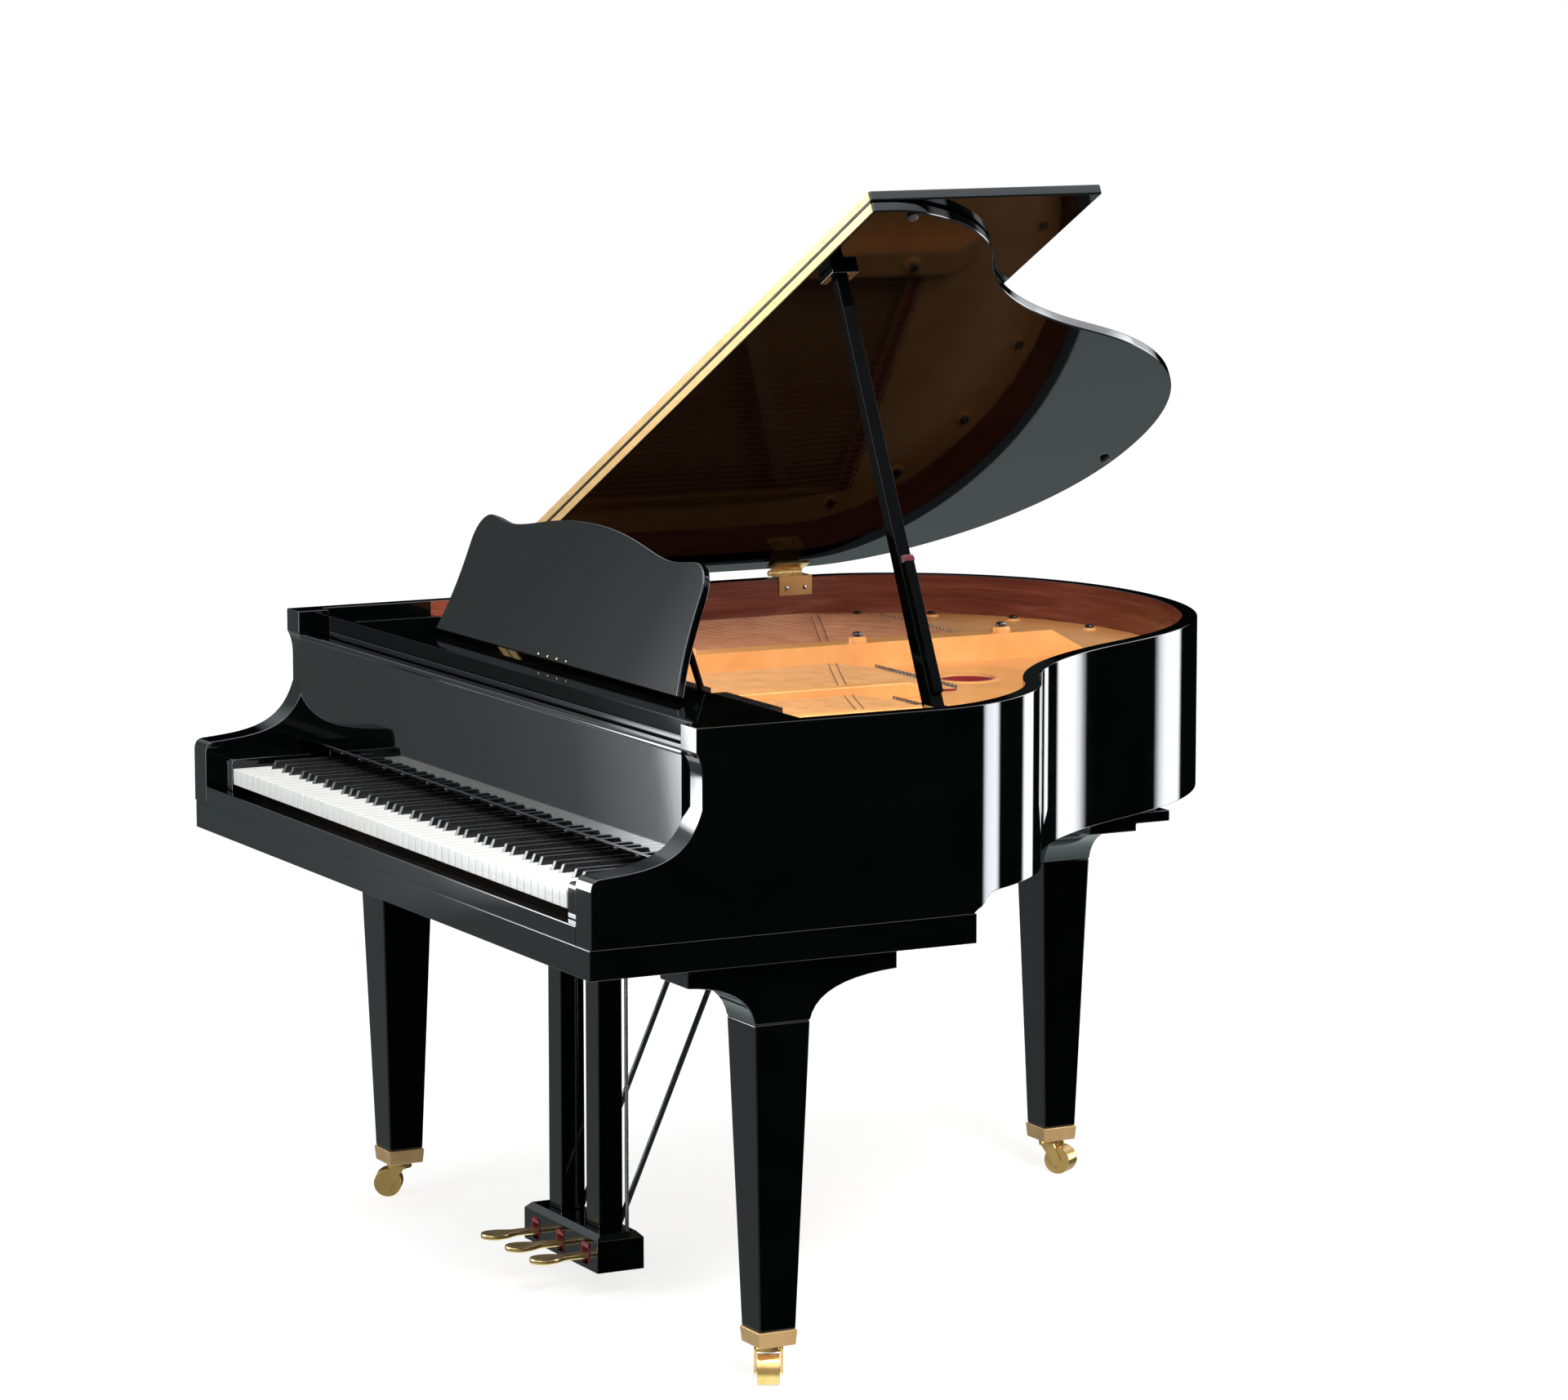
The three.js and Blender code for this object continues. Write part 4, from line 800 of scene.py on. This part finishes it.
def strings():
    wires = Build(WIRE, COPPER)
    pins = Build(STEEL, IRON)
    studs = Build(BRASS)
    hitches = Build(STEEL)
    bridge_pins = Build(STEEL)
    cloth = Build(RED_FELT)
    agraffe = [(4.6, 0), (4.6, 5), (3.4, 6), (4.4, 7), (4.4, 15), (3.2, 16.5)]
    pin_foot, pin_neck, pin_top = 899, 919, 925
    row = 0
    for x0, x1, back, count, groups in BAYS:
        for group, middle in enumerate(group_places(x0, x1, groups)[0]):
            wound = count == 1
            material = COPPER if wound else WIRE
            radius = 1.9 - 0.8 * group / groups if wound else THIN_WIRE
            for k in range(count):
                x = middle + (k - (count - 1) / 2) * STRING_PITCH
                row += 1
                pin_y = PIN_Y + (row % 4) * 25 + 3 * ((group * 5) % 3)
                over = min(bridge_line(x), back - 12)
                nut, behind = (x, AGRAFFE_Y, 912.6), (x, AGRAFFE_Y + 10, 913.0)
                wires.tube([(x, pin_y, 905), (x, AGRAFFE_Y - 8, 907.5), nut], THIN_WIRE, 5, WIRE)
                wires.tube([nut, behind], THIN_WIRE, 5, WIRE)
                wires.tube([behind, (x, over, 913.3), (x, back + 18, 903)], radius, 6, material)
                foot, neck, top = ((x + 3, pin_y, z) for z in (pin_foot, pin_neck, pin_top))
                pins.tube([foot, neck], 3.2, 10, IRON)
                pins.tube([neck, top], [2.6, 2.1], 4, STEEL)
                hitches.tube([(x, back + 19, pin_foot), (x, back + 21, 908)], 1.3, 8)
                for off in (-7, 7):
                    bridge_pins.tube([(x + 1, over + off, 910), (x + 1, over + off, 915)], 0.9, 6)
            studs.lathe(agraffe, (middle, AGRAFFE_Y, PLATE_TOP - 0.2), sides=10)
        cloth.box(x0 + 4, x1 - 4, back + 1, back + 15, PLATE_TOP, 903.2)
        cloth.box(x0 + 2, x1 - 2, -352, -341, PLATE_TOP, 904.5)
    wires.object("string_set", "case", replaces="strings")
    pins.object("tuning_pins", "case")
    studs.object("agraffes", "case", 0.4)
    hitches.object("hitch_pins", "case")
    bridge_pins.object("bridge_pins", "case")
    cloth.object("string_cloth", "case", 1.0)


strings()


def dampers():
    """A rail, and on each group of the first three bays a wire, a head and its felts."""
    made = Build(EBONY, WHITE_FELT, BRASS, RED_FELT)
    made.box(-636, 420, -310, -298, 800.3, 814)
    front, back = -317, -291
    for x0, x1, _, _, groups in BAYS[:3]:
        middles, pitch = group_places(x0, x1, groups)
        half = min(pitch * 0.42, 5.2)
        for x in middles:
            made.tube([(x + half * 0.6, -304, 812), (x + half * 0.6, -304, 924)], 0.9, 6, BRASS)
            made.box(x - half, x + half, front, back, 921, 932.5, EBONY)
            for y in (-316, -302.5):
                made.box(x - half * 0.9, x + half * 0.9, y, y + 11, 914.8, 919.4, WHITE_FELT)
            made.box(x - half * 0.95, x + half * 0.95, front, back, 919.4, 921, RED_FELT)
    made.object("damper_row", "dampers", 0.7, 2, replaces="damper_rack")


dampers()

# ---------------------------------------------------------------- lid

LID_LOW, LID_TOP, LID_EDGE, FOLD = 973.5, 989.0, 732.0, -222.0
HINGE = Vector((-742.0, 0, 969.5))
OPEN = (Matrix.Translation(HINGE) @ Matrix.Rotation(-math.radians(27.7), 4, "Y")
        @ Matrix.Translation(-HINGE))
STRIP_END = 728        # half the fold hinge's length
STRIP_BACK = FOLD - 0.3
STRIP_FACE = FOLD - 1.5
SCREW_PITCH = 121
UNDER_FACE = 0         # a prism's first face, which is its lower end


def lid():
    board = Build(LACQUER, SHADE)
    board.prism(outline(2, FOLD), "z", LID_LOW, LID_TOP, turn=OPEN)
    board.which[UNDER_FACE] = 1
    board.object("main_lid_board", "lid", 2.6, 4, replaces="main_lid")
    flap = Build(LACQUER, SHADE)
    flap.box(-LID_EDGE, LID_EDGE, FOLD, 160, LID_TOP + 2.2, LID_TOP + 17.7, turn=OPEN)
    flap.which[UNDER_FACE] = 1
    flap.object("front_lid_board", "flap", 2.6, 4, replaces="front_lid")
    fold_hinge()
    bumpers = Build(RUBBER)
    down = OPEN.to_3x3() @ Vector((0, 0, -1))
    button = [(8, 0), (8, 3.5), (6.6, 5.6), (3, 6.4)]
    for x, y in ((712, -150), (-300, 712)):
        bumpers.lathe(button, OPEN @ Vector((x, y, LID_LOW)), down)
    bumpers.object("lid_bumpers", "lid")


def fold_hinge():
    """Two leaves and a pin. The screws are staggered, so they clear when the flap lies flat."""
    for body, z0, z1, stagger, replaces in (
            ("lid", LID_LOW + 1.6, LID_TOP - 1.4, 0.25, "fold_hinge"),
            ("flap", LID_TOP + 4.0, LID_TOP + 16.2, 0.75, None)):
        leaf = Build(EDGE)
        leaf.box(-STRIP_END, STRIP_END, STRIP_FACE, STRIP_BACK, z0, z1, turn=OPEN)
        for k in range(12):
            x = 2 - STRIP_END + (k + stagger) * SCREW_PITCH
            leaf.screw(OPEN @ Vector((x, STRIP_FACE, (z0 + z1) / 2)), (0, -1, 0), 1.6)
        leaf.object(f"fold_hinge_{body}_leaf", body, replaces=replaces)
    # The pin is dark blued steel between the brass leaves: painted shade for the dark crease along
    # the hinge.
    pin = Build(IRON)
    ends = [OPEN @ Vector((x, FOLD - 1.2, LID_TOP + 1.1)) for x in (-STRIP_END, STRIP_END)]
    pin.tube(ends, 1.1, 10)
    pin.object("fold_hinge_pin", "lid")


lid()

# ---------------------------------------------------------------- music desk

DESK = Matrix.Translation((0, -457, 957)) @ Matrix.Rotation(-math.radians(20), 4, "X")
DESK_THICK = 12


def desk():
    """A board whose outline is half drawn, from its foot over an ear to its crown, and mirrored."""
    half, high, crown = 423, 196, 218
    ear, neck = half - 71, half - 25
    foot, dip = (half, 0), (ear - 90, high - 6)
    right = [foot, *bezier([foot, (half - 18, 45), (neck, 90), (neck, high - 51)], 16),
             *bezier([(neck, high - 51), (neck, high - 21), (ear + 28, high), (ear, high)], 18),
             *bezier([(ear, high), (ear - 27, high), (ear - 52, high - 8), dip], 16),
             *bezier([dip, (ear - 152, high - 2), (130, crown), (0, crown)], 30)]
    board = Build(LACQUER)
    board.prism(right + [(-x, z) for x, z in right[-2::-1]], "y", -DESK_THICK, 0, turn=DESK)
    board.object("music_desk_board", "desk", 2.2, 4, replaces="music_desk")
    studs = Build(BRASS)
    for x in (-48, -16, 16, 48):
        studs.screw(DESK @ Vector((x, -DESK_THICK, 6)), DESK.to_3x3() @ Vector((0, -1, 0)), 1.6)
    studs.object("desk_studs", "desk")


desk()

# ---------------------------------------------------------------- plate furniture, felts and screws

HOLE = (83, 204)       # the middle of the plate's round hole


def bolt(made, x, y, z, washer, head, sides=20):
    """A gilt washer with a blued steel head on it."""
    made.lathe(washer, (x, y, z), sides=sides, material=GILT)
    made.lathe(head, (x, y, z), sides=16, material=IRON)


def fittings():
    bolts = Build(IRON, GILT)
    border = outline(-60, -300, steps=12)
    for x, y in border[2:-1:3]:
        if y > -260:
            bolt(bolts, x, y, PLATE_TOP, [(13, 0), (12, 2.5), (11, 3)],
                 [(7.5, 3), (7.5, 5.5), (6, 7.5), (2.5, 8.4)])
    bolts.hoop([(45, -0.5), (45, 2.6), (49, 2.6), (54, 0.2)], (*HOLE, PLATE_TOP), GILT)
    for y in (-180, 120, 380):
        bolt(bolts, -118, y, 940, [(15, 0), (15, 5), (12.5, 8)],
             [(8, 8), (8, 12), (6.5, 14.5), (2.5, 15.4)], 24)
    bolts.object("plate_bolts", "case")
    bars = Build(GILT)
    foot, shoulder, top = PLATE_TOP - 0.5, 921, 924
    for x, back in ((208, 84), (438, 20)):
        side = [(-296, foot), (back, foot), (back - 46, shoulder), (back - 60, top), (-278, top),
                (-292, 918)]
        bars.prism(side, "x", x - 12, x + 12)
    bars.object("plate_bars", "case", 2.4, 4)
    felts = Build(RED_FELT, WHITE_FELT)
    felts.lathe([(26, 0), (43, 0), (43, 2.4), (26, 2.4)], (*HOLE, 858.2), sides=40,
                material=WHITE_FELT)
    inner, outer, low, high = 43.95, 44.7, 861, 898.5
    felts.hoop([(inner, low), (outer, low), (outer, high), (inner, high)], (*HOLE, 0), RED_FELT)
    felts.object("hole_felts", "case")


fittings()


def hardware():
    screws = Build(STEEL)
    for y in (-150, 319):
        for dy in (-17, 17):
            screws.screw((WALL - HALF + 2.8, y + dy, 948), (1, 0, 0), 4)
    screws.object("hinge_screws", "case")
    tip = Build(DARK_FELT)
    turn = Matrix.Translation((674, -182, 945)) @ Matrix.Rotation(-math.radians(25.5), 4, "Y")
    side = [(12.6, 228.5), (24.2, 228.5), (24.2, 234.5), (20.5, 239), (12.6, 239)]
    tip.prism(side, "y", -8, 8, turn=turn)
    tip.object("short_prop_felt", "prop_extension", 0.8)
    pads = Build(RED_FELT)
    low, shoulder, high = 51, 76, 83.5
    for x in (-88, 0, 88):
        for x0, x1, z in ((x - 12.6, x - 10.6, low), (x + 10.6, x + 12.6, low),
                          (x - 12.6, x + 12.6, shoulder)):
            pads.box(x0, x1, -459.2, -440, z, high)
    pads.object("pedal_felts", "case", 0.6)


hardware()

# ---------------------------------------------------------------- studio

WHITE = (1, 1, 1, 1)
IMAGE_WIDTH = 1920     # pixels


def camera():
    """The camera that the photo was solved for; its shifts are in pixels of the full frame."""
    lens = bpy.data.cameras.new("camera")
    lens.sensor_width = 36
    lens.lens = 129.07
    lens.shift_x = -4.5 / IMAGE_WIDTH
    lens.shift_y = -2.3 / IMAGE_WIDTH
    lens.clip_end = 100
    eye = bpy.data.objects.new("camera", lens)
    bpy.context.scene.collection.objects.link(eye)
    eye.location = metres((7580.1, -4053.8, 2128.8))
    eye.rotation_euler = (math.radians(90 - 8.31), 0, math.radians(62.25))
    bpy.context.scene.camera = eye


def sky():
    """White to the camera, even to matt surfaces, and a dark studio to polished ones."""
    world = bpy.data.worlds.new("studio")
    bpy.context.scene.world = world
    world.use_nodes = True
    world.node_tree.nodes.clear()
    tree = Nodes(world.node_tree)
    ray = tree.node("ShaderNodeLightPath").outputs
    way = tree.node("ShaderNodeTexCoord").outputs["Generated"]
    split = tree.node("ShaderNodeSeparateXYZ", way).outputs
    angle = tree.node("ShaderNodeMath", split["Y"], split["X"], operation="ARCTAN2").outputs[0]
    turn = tree.node("ShaderNodeMapRange", angle, From_Min=-math.pi, From_Max=math.pi).outputs[0]
    # Degrees round the room from X, and how bright its wall is there.
    walls = [(-180, 0.26), (-145, 0.28), (-120, 0.4), (-60, 0.3), (-10, 0.2), (12, 0.008),
             (125, 0.004), (168, 0.0), (178, 0.24)]
    sides = tree.ramp(turn, *[((degrees + 180) / 360, (level * 0.84, level, level * 0.98))
                              for degrees, level in walls])
    height = tree.node("ShaderNodeMapRange", split["Z"], From_Min=-1).outputs[0]
    overhead = tree.ramp(height, (0.6, 0.0), (0.66, 0.0), (0.84, 1.0))
    below = tree.ramp(height, (0.12, 1.0), (0.34, 0.0))
    ceiling = tree.mix(overhead, sides, (1.7, 1.85, 2.0, 1))
    whole = tree.mix(below, ceiling, (1.25, 1.5, 1.46, 1))
    mirror = tree.node("ShaderNodeBackground", Color=whole).outputs[0]
    room = tree.node("ShaderNodeBackground", Color=WHITE, Strength=0.62).outputs[0]
    seen = tree.node("ShaderNodeBackground", Color=WHITE, Strength=1.0).outputs[0]
    lit = tree.choose(ray["Is Glossy Ray"], room, mirror)
    tree.node("ShaderNodeOutputWorld", Surface=tree.choose(tree.direct(ray), lit, seen))


def square(half):
    """The corners of a level square."""
    return [(-half, -half, 0), (half, -half, 0), (half, half, 0), (-half, half, 0)]


def ground():
    """A pale floor, lifted to white where the camera sees it unshaded."""
    mesh = bpy.data.meshes.new("floor")
    mesh.from_pydata(square(14), [], [(0, 1, 2, 3)])
    floor = bpy.data.objects.new("floor", mesh)
    bpy.context.scene.collection.objects.link(floor)
    floor.visible_glossy = False
    s = Shader("pale_floor", grey(0.5), 0.9, Specular_IOR_Level=0.0)
    s.colour(s.ramp(s.noise(3, 3), (0.3, 0.47), (0.7, 0.5)))
    ray = s.node("ShaderNodeLightPath").outputs
    glow = s.node("ShaderNodeEmission", Strength=0.72).outputs[0]
    none = s.node("ShaderNodeEmission", Strength=0.0).outputs[0]
    lift = s.choose(s.direct(ray), none, glow)
    total = s.node("ShaderNodeAddShader", s.shader.outputs[0], lift).outputs[0]
    s.put(total, s.tree.nodes["Material Output"].inputs["Surface"])
    mesh.materials.append(s.material)


def facing(name, data, at, aim):
    """An object at one point, turned to look at another."""
    held = bpy.data.objects.new(name, data)
    bpy.context.scene.collection.objects.link(held)
    held.location = at
    held.rotation_euler = (Vector(aim) - Vector(at)).to_track_quat("-Z", "Y").to_euler()
    return held


def card(name, at, aim, size, level, across, up):
    """A glowing screen seen only in polished surfaces, fading along its width and height."""
    mesh = bpy.data.meshes.new(name)
    mesh.from_pydata(square(0.5), [], [(0, 1, 2, 3)])
    held = facing(name, mesh, at, aim)
    held.scale = (*size, 1)
    held.visible_camera = held.visible_diffuse = False
    held.visible_shadow = held.visible_transmission = False
    material = bpy.data.materials.new(name)
    material.use_nodes = True
    material.node_tree.nodes.clear()
    tree = Nodes(material.node_tree)
    coords = tree.node("ShaderNodeTexCoord").outputs["Object"]
    split = tree.node("ShaderNodeSeparateXYZ", coords).outputs
    fades = []
    for axis, stops in (("X", across), ("Y", up)):
        place = tree.node("ShaderNodeMath", split[axis], 0.5, operation="ADD").outputs[0]
        fades.append(tree.ramp(place, *stops))
    clear = tree.node("ShaderNodeBsdfTransparent").outputs[0]
    light = tree.node("ShaderNodeEmission", Color=(0.93, 0.96, 1.0, 1), Strength=level).outputs[0]
    glow = tree.choose(tree.mix(1.0, *fades, "MULTIPLY"), clear, light)
    tree.node("ShaderNodeOutputMaterial", Surface=glow)
    mesh.materials.append(material)
    return held


def softbox(name, at, aim, size, power, glossy=True):
    lamp = bpy.data.lights.new(name, "AREA")
    lamp.shape = "RECTANGLE"
    lamp.size, lamp.size_y = size
    lamp.energy = power
    facing(name, lamp, at, aim).visible_glossy = glossy


def around(degrees, radius, height):
    """A point in metres, on a circle about the Z axis."""
    turn = math.radians(degrees)
    return (radius * math.cos(turn), radius * math.sin(turn), height)


def studio():
    bpy.context.scene.view_settings.view_transform = "Standard"
    camera()
    sky()
    ground()
    soft = [(0.0, 0.0), (0.16, 0.75), (0.3, 1.0), (0.7, 1.0), (0.84, 0.75), (1.0, 0.0)]
    tall = [(0.0, 0.0), (0.08, 1.0), (0.92, 1.0), (1.0, 0.0)]
    left_edge = [(0.0, 0.0), (0.09, 0.003), (0.16, 0.011), (0.225, 0.055), (0.275, 0.72),
                 (0.312, 1.0), (0.85, 1.0), (1.0, 0.0)]
    low_edge = [(0.0, 0.0), (0.04, 1.0), (0.62, 0.9), (1.0, 0.0)]
    card("strip_a", around(59, 2.3, 0.9), (0, 0, 0.9), (0.62, 2.2), 13.0, soft, tall)
    card("strip_b", around(96, 2.3, 0.9), (0, 0, 0.9), (0.66, 2.2), 7.5, soft, tall)
    front = card("front_screen", (-2.0, -2.43, 1.4), (0.6, -2.43, 1.4), (2.6, 2.2), 19.0,
                 left_edge, low_edge)
    front.rotation_euler.rotate_axis("Z", math.radians(10))
    card("top_screen", (-0.35, 3.1, 2.1), (0.4, 0.3, 1.55), (2.6, 1.3), 3.0, soft, tall)
    softbox("overhead", (0.6, -0.9, 3.6), (0, 0, 0.8), (2.4, 2.4), 92)
    softbox("front", (0.3, -3.2, 1.7), (0, -0.5, 0.75), (1.8, 1.2), 22, glossy=False)
    softbox("inside", (3.9, -0.65, 3.77), (-0.1, 0.2, 0.9), (2.0, 1.6), 240, glossy=False)


studio()
